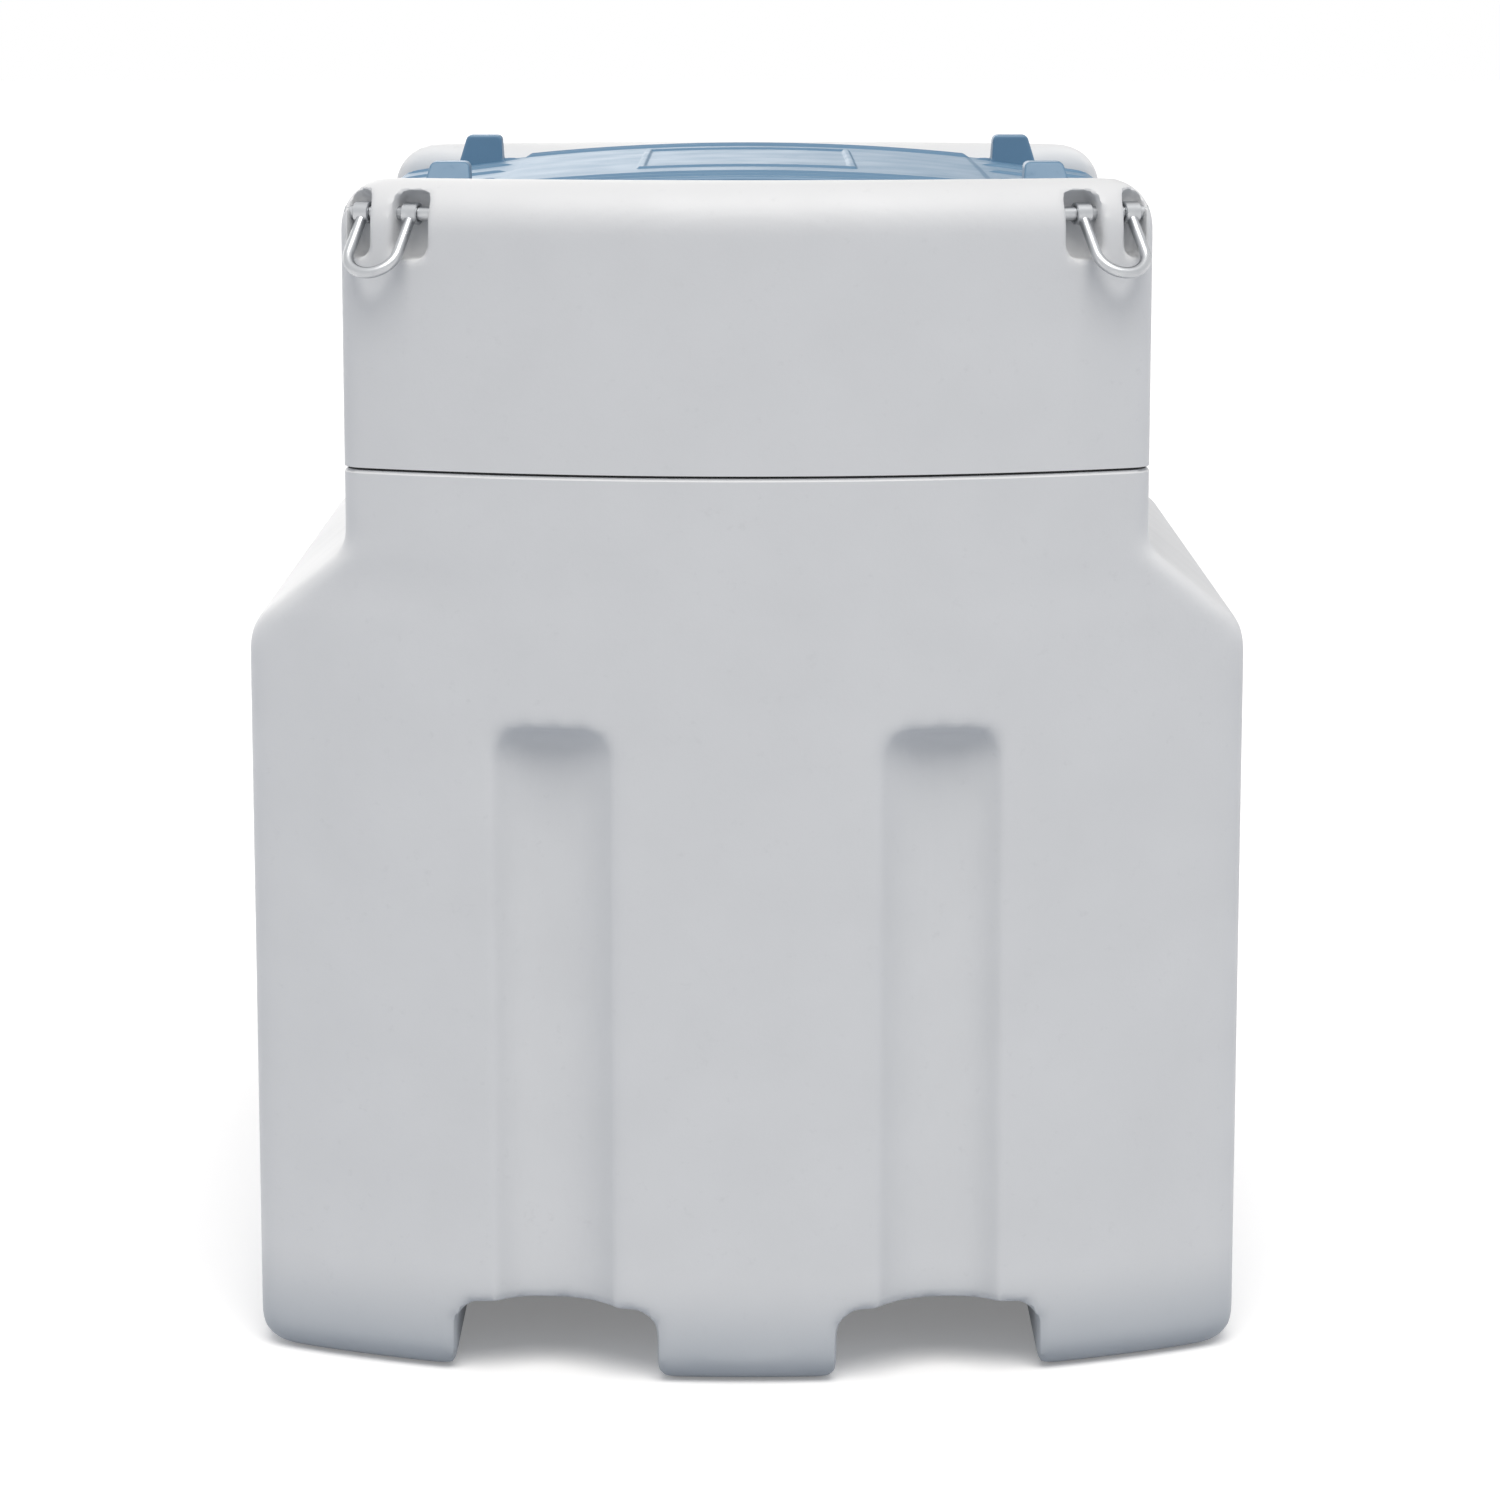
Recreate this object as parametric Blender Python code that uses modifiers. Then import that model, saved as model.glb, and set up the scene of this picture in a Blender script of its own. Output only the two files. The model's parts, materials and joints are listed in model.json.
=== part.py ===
"""Fresh water tank with fork pockets, a lidded fittings cabinet and four lifting bails.

Metres, +Z up.  The origin is on the floor, at the middle of the tank's outer box.
-Y is the front, +X is the right-hand side seen from the front.
"""
import math

import bmesh
import bpy
from mathutils import Matrix, Vector

# ------------------------------------------------------------------ driving sizes, metres
GAP = 0.0003                 # clearance between faces that touch
RUN = 0.0008                 # clearance between faces that slide or turn
PAST = 0.010                 # a cutter runs this far past the face that it opens
FAR_PAST = 0.050             # the same for cutters that run past a bowed or vaulted face

# moulded tank
WIDTH = 1.000                # over the side walls
LENGTH = 1.300               # over the bowed front and rear faces
WALL = 0.008                 # moulded wall
DECK = 0.012                 # top of the tank, under the cabinet
BOW_RADIUS = 0.987           # plan radius of the front and rear faces
BODY_CORNER = 0.046          # plan radius of the tank's upright corners
FOOT_ROUND = 0.030           # bottom edge
SHOULDER_Z = 0.748           # where the side wall folds into the shoulder
SHOULDER_FOLD = 0.055        # radius of that fold
NECK_WIDTH = 0.795           # narrow upper part
NECK_LENGTH = 0.950          # from the front face back
NECK_CORNER = 0.032
NECK_ROOT_Z = 0.832          # where the shoulder meets the neck
NECK_ROOT_RADIUS = 0.026
SEAM_Z = 0.910               # top face of the tank, under the cabinet
SEAM_LIP = 0.003             # rounding of the tank's top edge

# fork pockets and the drawn-in grooves above them
POCKET_CENTRE = 0.191        # from the middle of the tank
POCKET_WIDTH = 0.203
POCKET_HEIGHT = 0.074
POCKET_ROUND = 0.024         # ceiling corners
POCKET_FLARE = 0.020         # rounding of the feet beside the pocket
POCKET_FLARE_SWEEP = 75      # of that rounding, degrees
POCKET_SINK = 0.003          # the rounding starts this far below the floor
GROOVE_WIDTH = 0.121
GROOVE_DEPTH = 0.034
GROOVE_TOP_Z = 0.668
GROOVE_TOP_ROUND = 0.034
GROOVE_FLATNESS = 2.6        # exponent of the groove's section, 2 is a parabola
GROOVE_STATIONS = (0.42, 0.72, 0.93, 1.12)   # shares of its half width, over 1 is outside
GROOVE_STATIONS_INSIDE = (0.72, 1.12)
GROOVE_FOOT = -0.010         # start of the groove, below the floor
GROOVE_BEHIND = -0.030       # back of its cutter, in front of the bowed face
GROOVE_FADE = 0.6            # exponent of its depth over the top end
GROOVE_NARROWING = 0.6       # share of the top rounding taken off its half width
GROOVE_TOP_LIFT = 0.004      # of the faded top end out of the face

# cabinet on top of the tank
SEAL_THICK = 0.002           # strip in the seam
SEAL_SETBACK = 0.004         # strip lies this far behind the faces
SEAL_WIDTH = 0.020
RIM_Z = 1.1945               # top of the gables
RIM_ROUND = 0.048            # rounding of the cabinet's top edges
RIM_CORNER_LOSS = 0.35       # share of that rounding taken off the plan corners
RIM_CORNER_LEAST = 0.4       # share of the plan corners that stays
GABLE = 0.125                # thickness at the middle of the front and rear gables
GABLE_SHELL = 0.010          # wall round the hollow in a gable
GABLE_HOLLOW_WIDTH = 0.520
CABINET_WALL = 0.035         # side walls, also the ledge that carries the lid
CABINET_LEDGE = 0.020        # ledge under the lid's ends
CABINET_CORNER = 0.030       # plan radius of the compartment
FLANGE = 0.022               # width of the flange inside the cabinet's foot
FLANGE_THICK = 0.014

# lid
LID_HALF = 0.384             # half of its width
LID_EDGE_Z = 1.163           # top of the lid along its sides
LID_RISE = 0.030             # height of its vault
LID_SHELL = 0.006
LID_SKIRT = 0.029            # depth of its turned-down edge
LID_END_GAP = 0.003          # to each gable
LID_SEAT_GAP = 0.0005        # under the skirt
PANEL_HALF = 0.237           # raised middle panel
PANEL_RISE = 0.003
PANEL_FOLD = 0.010
RIB_COUNT = 5                # cross ribs on each side of the panel
RIB_PITCH = 0.150
RIB_WIDTH = 0.006
RIB_RISE = 0.0025
RIB_EDGE = 0.012             # from a rib's ends to the panel and to the lid's side
BEAD_INSETS = (0.014, 0.056)  # beads across the lid, from each of its ends
BEAD_WIDTH = 0.008
BEAD_RISE = 0.003
FRAME_WIDTH = 0.225          # blank raised frame on the panel
FRAME_LENGTH = 0.380
FRAME_BAND = 0.010
FRAME_RISE = 0.0025
SINK = 0.002                 # raised details start this far inside the shell
LUG_CENTRE = 0.291           # from the middle of the lid
LUG_INSET = 0.034            # from the end of the lid to the middle of the lug
LUG_WIDTH = 0.046
LUG_TOP_WIDTH = 0.038
LUG_LENGTH = 0.050
LUG_HEIGHT = 0.032
LUG_ROUND = 0.005
LUG_FLANGE = 0.004           # foot round a lug
LUG_FOOT_SLOPE = 0.001       # the foot follows the vault, half of its fall under the lug
LUG_FOOT_ROUND = 0.0005
LUG_SINK = 0.006             # of the lug's base into the lid
HINGE_BARREL = 0.008         # outer radius of the barrel in the lid's left edge
HINGE_PIN_RADIUS = 0.005
HINGE_PIN_REACH = 0.022      # of the pin into the lid
HINGE_SEAT_REACH = 0.010     # of the pin into the gable, short of the bail's slot
HINGE_PIN_PLAY = 0.0005      # round the pin in the lid
BARREL_INSET = 0.002         # from the lid's end to its barrel
BARREL_TUCK = 0.0001         # the barrel lies this far inside the round edge

# lifting bails in the cabinet's corners
BAIL_CENTRE = 0.358          # from the middle of the cabinet
BAIL_Z = 1.161               # axis of the bar
BAR_RADIUS = 0.007
BAR_SETBACK = 0.022          # axis of the bar behind the bowed face
BAR_SEAT = 0.006             # of the bar's ends in the cabinet
SLOT_DEPTH = 0.0345
SLOT_FLOOR_Z = 1.118
SLOT_CEILING_Z = 1.183
SLOT_OUTER = 0.038           # end of the slot at the cabinet's corner
SLOT_INNER = 0.049           # end of the slot towards the middle
SLOT_ROUND = 0.0115
RIB_HALF = 0.012             # half of the rib between the two slots
ROD_RADIUS = 0.0055
BAIL_HALF = 0.026            # half of the distance between the legs
BAIL_LENGTH = 0.075          # from the bar's axis to the middle of the bend
EYE_WIDTH = 0.016
EYE_THICK = 0.003
BAIL_REST = math.radians(43.0)   # lean of the hanging bail, on the lip of its slot

# manhole
FITTING_ROOM = 0.006         # between the fittings and the cabinet's flange
MANHOLE_BORE = 0.150
MANHOLE_COLLAR = 0.162       # outer radius
MANHOLE_COLLAR_HEIGHT = 0.045
MANHOLE_FLANGE = 0.200
MANHOLE_FLANGE_THICK = 0.010
COVER_RADIUS = 0.176
COVER_SHELL = 0.006
COVER_SKIRT = 0.030
COVER_DOME = 0.012
COVER_DOME_TOP = 0.097       # radius of the dome's flat top
COVER_DOME_FOOT = 0.127
COVER_DOME_SHIFT = 0.0035    # the inside of the dome is this much narrower
COVER_CHAMFER = 0.003
COVER_GRIPS = 12
GRIP_WIDTH = 0.014
GRIP_REACH = 0.006
GRIP_SINK = 0.002            # of a grip into its cap
GRIP_FOOT = 0.002            # from the cap's rim to the grip
GRIP_HEAD = 0.005            # from the cover's top to the grip
GASKET_WIDTH = 0.008
GASKET_THICK = 0.004
GASKET_SETBACK = 0.001       # from the collar's outer edge
RING_BOLTS = 8
BOLT_RADIUS = 0.004
BOLT_HEAD = 0.0075           # across the corners, halved
BOLT_HEAD_HEIGHT = 0.005
BOLT_LENGTH = 0.018          # below the head
BOLT_SIDES = 6
BOLT_HOLE_SIDES = 8
BOLT_HOLE_PAST = 0.003       # the hole's cutter runs this far above the seat

# filler
FILLER_X = -0.215
FILLER_BORE = 0.030
FILLER_WALL = 0.005
FILLER_FLANGE = 0.050
FILLER_FLANGE_THICK = 0.006
FILLER_HEIGHT = 0.045
FILLER_DROP = 0.030          # below the deck
CAP_WALL = 0.005
CAP_CHAMFER = 0.003
CAP_GRIPS = 6
CAP_GRIP_WIDTH = 0.012
CAP_GRIP_REACH = 0.005

# breather
VENT_X = 0.300
VENT_BORE = 0.008
VENT_WALL = 0.004
VENT_FLANGE = 0.024
VENT_FLANGE_THICK = 0.005
VENT_HEIGHT = 0.040
VENT_DROP = 0.020
VENT_CAP_RADIUS = 0.026
VENT_CAP_HEIGHT = 0.022
VENT_SLIT = 0.006            # air gap under the cap's rim
VENT_CAP_SHELL = 0.003
VENT_CAP_RISE = 0.008        # of its crown
VENT_CAP_SLOPE = 0.001       # fall of the crown from its middle to half its radius

# suction line, valve and outlet
PIPE_BORE = 0.0125
PIPE_WALL = 0.0035
PIPE_HEIGHT = 0.030          # above the deck
SOCKET_WALL = 0.005          # of the fittings that take the pipe
SUCTION_FLANGE = 0.048
SUCTION_FLANGE_THICK = 0.010
SUCTION_DROP = 0.024
STRAINER_RADIUS = 0.030
STRAINER_HEIGHT = 0.055
STRAINER_SHELL = 0.003
STRAINER_SLOTS = 8
STRAINER_SLOT_WIDTH = 0.006
STRAINER_FOOT = 0.008        # under the slots
STRAINER_HEAD = 0.010        # above the slots
PIPE_STAND = 0.033           # of the suction pipe's end over the strainer's foot
ELBOW_RADIUS = 0.045
ELBOW_RISE = 0.012           # straight part above the socket
VALVE_LENGTH = 0.070
VALVE_BODY_RADIUS = 0.027
VALVE_END_RADIUS = 0.0215
VALVE_END_SHARE = 0.55       # where the ends begin, as a share of half the length
VALVE_BODY_SHARE = 0.35
BALL_RADIUS = 0.0175
STEM_RADIUS = 0.005
STEM_HEIGHT = 0.044          # from the bore's axis to the lever
LEVER_LENGTH = 0.105
LEVER_WIDTH = 0.018
LEVER_THICK = 0.004
LEVER_SETDOWN = 0.0005       # of the blade below the stem's end
LEVER_ROUND = 0.0081
OUTLET_LENGTH = 0.045
OUTLET_RADIUS = 0.0225
OUTLET_GROOVE = 0.003
OUTLET_GROOVE_AT = 0.0158    # from the valve's side
OUTLET_GROOVE_WIDTH = 0.012
CAP_LENGTH = 0.026
OUTLET_CAP_LENGTH = 0.0182
OUTLET_CAP_CHAMFER = 0.002

# round pieces
FACE_STEPS = 10              # across a bowed face
CORNER_STEPS = 4
ARC_STEPS = 4
TURN_STEPS = 20
BIG_TURN_STEPS = 32
ROD_STEPS = 16
BALL_STEPS = 4
BAIL_STEPS = 10              # round its bend
SMALL_ARC_STEPS = 3
VAULT_STEPS = 12             # across the lid's panel
SIDE_STEPS = 4               # beside it
ELBOW_STEPS = 6
SHARP_ANGLE = 32             # edges over this many degrees stay crisp
WELD = 0.00001               # points nearer than this are one

# ------------------------------------------------------------------ worked-out sizes
Y_FRONT = -LENGTH / 2
Y_REAR = LENGTH / 2
NECK_REAR = Y_FRONT + NECK_LENGTH
NECK_HALF = NECK_WIDTH / 2
CABINET_Z = SEAM_Z + SEAL_THICK + 2 * GAP
LID_FRONT = Y_FRONT + GABLE + LID_END_GAP
LID_REAR = NECK_REAR - GABLE - LID_END_GAP
LID_MIDDLE = (LID_FRONT + LID_REAR) / 2
LID_BOTTOM = LID_EDGE_Z - LID_SKIRT
HINGE_X = -LID_HALF + HINGE_BARREL
HINGE_Z = LID_BOTTOM + HINGE_BARREL
ROOM_HALF = NECK_HALF - CABINET_WALL
ROOM_FRONT = Y_FRONT + GABLE + CABINET_LEDGE
ROOM_REAR = NECK_REAR - GABLE - CABINET_LEDGE
MANHOLE_Y = ROOM_REAR - FLANGE - FITTING_ROOM - MANHOLE_FLANGE
FITTINGS_Y = ROOM_FRONT + FLANGE + FITTING_ROOM + FILLER_FLANGE
PIPE_RADIUS = PIPE_BORE + PIPE_WALL
SOCKET_RADIUS = PIPE_RADIUS + GAP + SOCKET_WALL
LINE_Z = SEAM_Z + SUCTION_FLANGE_THICK + PIPE_HEIGHT + ELBOW_RISE + ELBOW_RADIUS


# ------------------------------------------------------------------ scene
for old in list(bpy.data.objects):
    bpy.data.objects.remove(old, do_unlink=True)

parts = bpy.data.collections.new("fresh_water_tank")
cutters = bpy.data.collections.new("cutters")
bpy.context.scene.collection.children.link(parts)
bpy.context.scene.collection.children.link(cutters)


def material(name, colour, roughness, metallic=0.0):
    """Principled material of one plain colour."""
    made = bpy.data.materials.new(name)
    made.use_nodes = True
    shader = made.node_tree.nodes["Principled BSDF"]
    shader.inputs["Base Color"].default_value = (*colour, 1.0)
    shader.inputs["Roughness"].default_value = roughness
    shader.inputs["Metallic"].default_value = metallic
    return made


NATURAL_PE = material("natural_polyethylene", (0.83, 0.84, 0.84), 0.55)
BLUE_PE = material("blue_polyethylene", (0.13, 0.25, 0.38), 0.45)
ZINC = material("zinc_plated_steel", (0.72, 0.73, 0.74), 0.3, 1.0)
BLACK_PP = material("black_polypropylene", (0.03, 0.03, 0.035), 0.5)
BLUE_PP = material("blue_polypropylene", (0.05, 0.16, 0.42), 0.45)
RUBBER = material("black_rubber", (0.02, 0.02, 0.02), 0.8)
STAINLESS = material("stainless_steel", (0.62, 0.62, 0.63), 0.28, 1.0)
PIPE_PE = material("white_pipe", (0.8, 0.82, 0.84), 0.4)


# ------------------------------------------------------------------ building tools
def add_object(name, mesh, stuff=None):
    """Links a mesh as a part, or as a cutter when it has no material."""
    made = bpy.data.objects.new(name, mesh)
    if stuff is None:
        cutters.objects.link(made)
        made.hide_render = True
        made.display_type = "WIRE"
    else:
        mesh.materials.clear()
        mesh.materials.append(stuff)
        parts.objects.link(made)
        mesh.shade_smooth()
        mesh.set_sharp_from_angle(angle=math.radians(SHARP_ANGLE))
    return made


def mesh_from(name, shape):
    """Turns a bmesh into a mesh with its faces pointing out."""
    bmesh.ops.recalc_face_normals(shape, faces=shape.faces)
    mesh = bpy.data.meshes.new(name)
    shape.to_mesh(mesh)
    shape.free()
    return mesh


def loft(name, rings, stuff=None):
    """Skins closed rings with equal point counts and caps both ends."""
    shape = bmesh.new()
    rows = [[shape.verts.new(point) for point in ring] for ring in rings]
    count = len(rows[0])
    for low, high in zip(rows, rows[1:]):
        for i in range(count):
            j = (i + 1) % count
            shape.faces.new((low[i], low[j], high[j], high[i]))
    shape.faces.new(reversed(rows[0]))
    shape.faces.new(rows[-1])
    return add_object(name, mesh_from(name, shape), stuff)


def baked(made):
    """Gives an object's mesh with its modifiers worked out and its points welded."""
    bpy.context.view_layer.update()
    graph = bpy.context.evaluated_depsgraph_get()
    mesh = bpy.data.meshes.new_from_object(made.evaluated_get(graph))
    shape = bmesh.new()
    shape.from_mesh(mesh)
    bmesh.ops.remove_doubles(shape, verts=shape.verts, dist=WELD)
    shape.to_mesh(mesh)
    shape.free()
    return mesh


def extruded(name, outline, start, end, frame=None, stuff=None):
    """Flat outline (a, b) pushed along its normal from start to end.

    The frame carries a, b and the normal to the world; left out, they are X, Z and Y.
    """
    if frame is None:
        frame = Matrix(((1, 0, 0, 0), (0, 0, 1, 0), (0, 1, 0, 0), (0, 0, 0, 1)))
    flat = bpy.data.curves.new(name + "_outline", "CURVE")
    flat.dimensions = "2D"
    flat.fill_mode = "BOTH"
    flat.extrude = (end - start) / 2
    spline = flat.splines.new("POLY")
    spline.points.add(len(outline) - 1)
    for point, (a, b) in zip(spline.points, outline):
        point.co = (a, b, 0.0, 1.0)
    spline.use_cyclic_u = True
    holder = bpy.data.objects.new(name + "_outline", flat)
    cutters.objects.link(holder)
    mesh = baked(holder)
    bpy.data.objects.remove(holder, do_unlink=True)
    mesh.transform(frame @ Matrix.Translation((0.0, 0.0, (start + end) / 2)))
    shape = bmesh.new()
    shape.from_mesh(mesh)
    return add_object(name, mesh_from(name, shape), stuff)


def turned(name, profile, place, steps=TURN_STEPS, stuff=None, axis="Z"):
    """Profile (radius, height) swept round an axis; outer side runs top to bottom."""
    mesh = bpy.data.meshes.new(name + "_profile")
    closed = profile[0][0] > 0.0
    edges = [(i, i + 1) for i in range(len(profile) - 1)]
    if closed:
        edges.append((len(profile) - 1, 0))
    mesh.from_pydata([(radius, 0.0, height) for radius, height in profile], edges, [])
    holder = bpy.data.objects.new(name + "_profile", mesh)
    cutters.objects.link(holder)
    screw = holder.modifiers.new("turn", "SCREW")
    screw.axis = "Z"
    screw.steps = steps
    screw.render_steps = steps
    screw.use_merge_vertices = True
    screw.merge_threshold = WELD
    solid = baked(holder)
    bpy.data.objects.remove(holder, do_unlink=True)
    if axis == "X":
        solid.transform(Matrix.Rotation(math.radians(90), 4, "Y"))
    shape = bmesh.new()
    shape.from_mesh(solid)
    made = add_object(name, mesh_from(name, shape), stuff)
    made.location = place
    return made


def cylinder(name, radius, start, end, steps=TURN_STEPS, stuff=None):
    """Round bar between two points."""
    start, end = Vector(start), Vector(end)
    shape = bmesh.new()
    length = (end - start).length
    bmesh.ops.create_cone(shape, cap_ends=True, segments=steps, radius1=radius,
                          radius2=radius, depth=length)
    turn = Vector((0, 0, 1)).rotation_difference(end - start).to_matrix().to_4x4()
    made = add_object(name, mesh_from(name, shape), stuff)
    made.matrix_world = Matrix.Translation((start + end) / 2) @ turn
    return made


def box(name, low, high, stuff=None):
    """Upright box between two corners."""
    low, high = Vector(low), Vector(high)
    shape = bmesh.new()
    bmesh.ops.create_cube(shape, size=1.0)
    bmesh.ops.scale(shape, vec=high - low, verts=shape.verts)
    made = add_object(name, mesh_from(name, shape), stuff)
    made.location = (low + high) / 2
    return made


def pipe(name, points, radius, stuff=None, sides=2):
    """Round tube along points, as a mesh."""
    path = bpy.data.curves.new(name + "_path", "CURVE")
    path.dimensions = "3D"
    path.bevel_depth = radius
    path.bevel_resolution = sides
    path.use_fill_caps = True
    spline = path.splines.new("POLY")
    spline.points.add(len(points) - 1)
    for point, place in zip(spline.points, points):
        point.co = (*place, 1.0)
    holder = bpy.data.objects.new(name + "_path", path)
    cutters.objects.link(holder)
    mesh = baked(holder)
    bpy.data.objects.remove(holder, do_unlink=True)
    shape = bmesh.new()
    shape.from_mesh(mesh)
    return add_object(name, mesh_from(name, shape), stuff)


def combine(target, tool, operation="DIFFERENCE"):
    """Cuts a piece with a tool, or joins the tool to it."""
    step = target.modifiers.new(tool.name, "BOOLEAN")
    step.operation = operation
    step.solver = "EXACT"
    step.object = tool
    return target


def arc(centre, radius, start, end, steps=ARC_STEPS):
    """Points of an arc in a plane, angles in degrees, both ends included."""
    points = []
    for i in range(steps + 1):
        angle = math.radians(start + (end - start) * i / steps)
        points.append((centre[0] + radius * math.cos(angle), centre[1] + radius * math.sin(angle)))
    return points


def rounded_box(left, right, bottom, top, radius, steps=SMALL_ARC_STEPS):
    """Outline of a rectangle with round corners."""
    points = arc((right - radius, bottom + radius), radius, -90, 0, steps)
    points += arc((right - radius, top - radius), radius, 0, 90, steps)
    points += arc((left + radius, top - radius), radius, 90, 180, steps)
    points += arc((left + radius, bottom + radius), radius, 180, 270, steps)
    return points


def filleted(corners, steps=ARC_STEPS):
    """Open line (a, b, radius) with its inner corners rounded."""
    line = [corners[0][:2]]
    for before, corner, after in zip(corners, corners[1:], corners[2:]):
        here = Vector(corner[:2])
        back = (Vector(before[:2]) - here).normalized()
        ahead = (Vector(after[:2]) - here).normalized()
        half = back.angle(ahead) / 2
        centre = here + (back + ahead).normalized() * corner[2] / math.sin(half)
        reach = corner[2] / math.tan(half)
        first = here + back * reach - centre
        last = here + ahead * reach - centre
        for i in range(steps + 1):
            line.append(tuple(centre + first.slerp(last, i / steps) * corner[2]))
    line.append(corners[-1][:2])
    return line


def bow(x, radius=BOW_RADIUS):
    """How far a bowed face lies behind its middle, at x."""
    return radius - math.sqrt(radius * radius - x * x)


def plan(half, front, rear, corner, fineness):
    """Outline of the mould in plan: bowed front and rear, straight sides, round corners."""
    face_steps, corner_steps = fineness
    inner = half - corner
    reach = BOW_RADIUS - corner
    lean = math.asin(inner / reach)
    drop = BOW_RADIUS - math.sqrt(reach * reach - inner * inner)
    angle = math.degrees(lean)
    quarter = arc((inner, front + drop), corner, angle - 90, 0, corner_steps)
    front_face = []
    for i in range(face_steps + 1):
        turn = lean * (2 * i / face_steps - 1)
        x = BOW_RADIUS * math.sin(turn)
        front_face.append((x, front + bow(x)))
    right_front = quarter[1:]
    middle = front + rear
    right_rear = [(x, middle - y) for x, y in reversed(right_front)]
    rear_face = [(x, middle - y) for x, y in reversed(front_face)]
    left_rear = [(-x, y) for x, y in reversed(right_rear)]
    left_front = [(-x, y) for x, y in reversed(right_front)]
    return front_face + right_front + right_rear + rear_face + left_rear + left_front


def ring(half, front, rear, corner, z, fineness=(FACE_STEPS, CORNER_STEPS)):
    """One section of the mould at a height."""
    return [(x, y, z) for x, y in plan(half, front, rear, corner, fineness)]


# ------------------------------------------------------------------ moulded tank
def tank_rings(inset, bottom, top, lip, arc_steps, fineness):
    """Sections of the tank from its feet to its top, set in by a wall thickness."""
    side = filleted([
        (WIDTH / 2, bottom + FOOT_ROUND, 0.0),
        (WIDTH / 2, SHOULDER_Z, SHOULDER_FOLD),
        (NECK_HALF, NECK_ROOT_Z, NECK_ROOT_RADIUS),
        (NECK_HALF, top - lip, 0.0),
    ], arc_steps)
    rings = []
    for i in range(arc_steps):
        angle = math.pi / 2 * i / arc_steps
        shrink = inset + FOOT_ROUND * (1 - math.sin(angle))
        height = bottom + FOOT_ROUND * (1 - math.cos(angle))
        rings.append(ring(WIDTH / 2 - shrink, Y_FRONT + shrink, Y_REAR - shrink,
                          BODY_CORNER - inset, height, fineness))
    for half, height in side:
        share = (WIDTH / 2 - half) / (WIDTH / 2 - NECK_HALF)
        rear = Y_REAR + (NECK_REAR - Y_REAR) * share
        corner = BODY_CORNER + (NECK_CORNER - BODY_CORNER) * share
        rings.append(ring(half - inset, Y_FRONT + inset, rear - inset, corner - inset, height,
                          fineness))
    if lip:
        shrink = inset + lip
        rings.append(ring(NECK_HALF - shrink, Y_FRONT + shrink, NECK_REAR - shrink,
                          NECK_CORNER - shrink, top, fineness))
    return rings


def pocket_outline(centre, grow):
    """Section of a fork pocket, flared at the floor; grow adds the wall round it."""
    half = POCKET_WIDTH / 2 + grow
    top = POCKET_HEIGHT + grow
    if grow:
        half_floor = [(centre + half, -POCKET_SINK)]
    else:
        half_floor = arc((centre + half + POCKET_FLARE, POCKET_FLARE - POCKET_SINK), POCKET_FLARE,
                         180 + POCKET_FLARE_SWEEP, 180, SMALL_ARC_STEPS)
    crown = arc((centre + half - POCKET_ROUND, top - POCKET_ROUND), POCKET_ROUND, 0, 90,
                SMALL_ARC_STEPS)
    right = half_floor + crown
    left = [(2 * centre - a, b) for a, b in reversed(right)]
    return right + left


def groove_rings(centre, facing, grow):
    """Sections of an upright groove, with a round, drawn-out top end."""
    stations = GROOVE_STATIONS_INSIDE if grow else GROOVE_STATIONS
    arc_steps = len(stations)
    shares = [-share for share in reversed(stations)] + [0.0, *stations]
    levels = [(GROOVE_FOOT, 1.0, 0.0)]
    for i in range(arc_steps + 1):
        angle = math.pi / 2 * i / arc_steps
        height = GROOVE_TOP_Z - GROOVE_TOP_ROUND + (GROOVE_TOP_ROUND + grow) * math.sin(angle)
        narrow = GROOVE_TOP_ROUND * (1 - math.cos(angle))
        levels.append((height, math.cos(angle) ** GROOVE_FADE, narrow))
    rings = []
    for height, depth, narrow in levels:
        half = GROOVE_WIDTH / 2 + grow - GROOVE_NARROWING * narrow
        section = []
        for share in shares:
            x = centre + share * half
            fall = (GROOVE_DEPTH + grow) * (1 - abs(share) ** GROOVE_FLATNESS)
            section.append((x, bow(x) + fall * depth - GROOVE_TOP_LIFT * (1 - depth)))
        section.append((section[-1][0], GROOVE_BEHIND))
        section.append((section[0][0], GROOVE_BEHIND))
        rings.append([(x, facing * (Y_FRONT + y), height) for x, y in section])
    return rings


def mould_features(name, grow):
    """Pockets and grooves as tools, grown by a wall for the inside of the mould."""
    tools = []
    for side, sign in (("left", -1), ("right", 1)):
        centre = sign * POCKET_CENTRE
        tools.append(extruded(f"{name}_pocket_{side}", pocket_outline(centre, grow),
                              Y_FRONT - FAR_PAST, Y_REAR + FAR_PAST))
        for end, facing in (("front", 1), ("rear", -1)):
            tools.append(loft(f"{name}_groove_{end}_{side}", groove_rings(centre, facing, grow)))
    return tools


tank = loft("tank_body", tank_rings(0.0, 0.0, SEAM_Z, SEAM_LIP, ARC_STEPS,
                                    (FACE_STEPS, CORNER_STEPS)), NATURAL_PE)
for tool in mould_features("cut", 0.0):
    combine(tank, tool)

inside = loft("cut_inside", tank_rings(WALL, WALL, SEAM_Z - DECK, 0.0, 2,
                                       (FACE_STEPS // 2, CORNER_STEPS // 2)))
for tool in mould_features("inside", WALL):
    combine(inside, tool)
combine(tank, inside)

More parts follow.
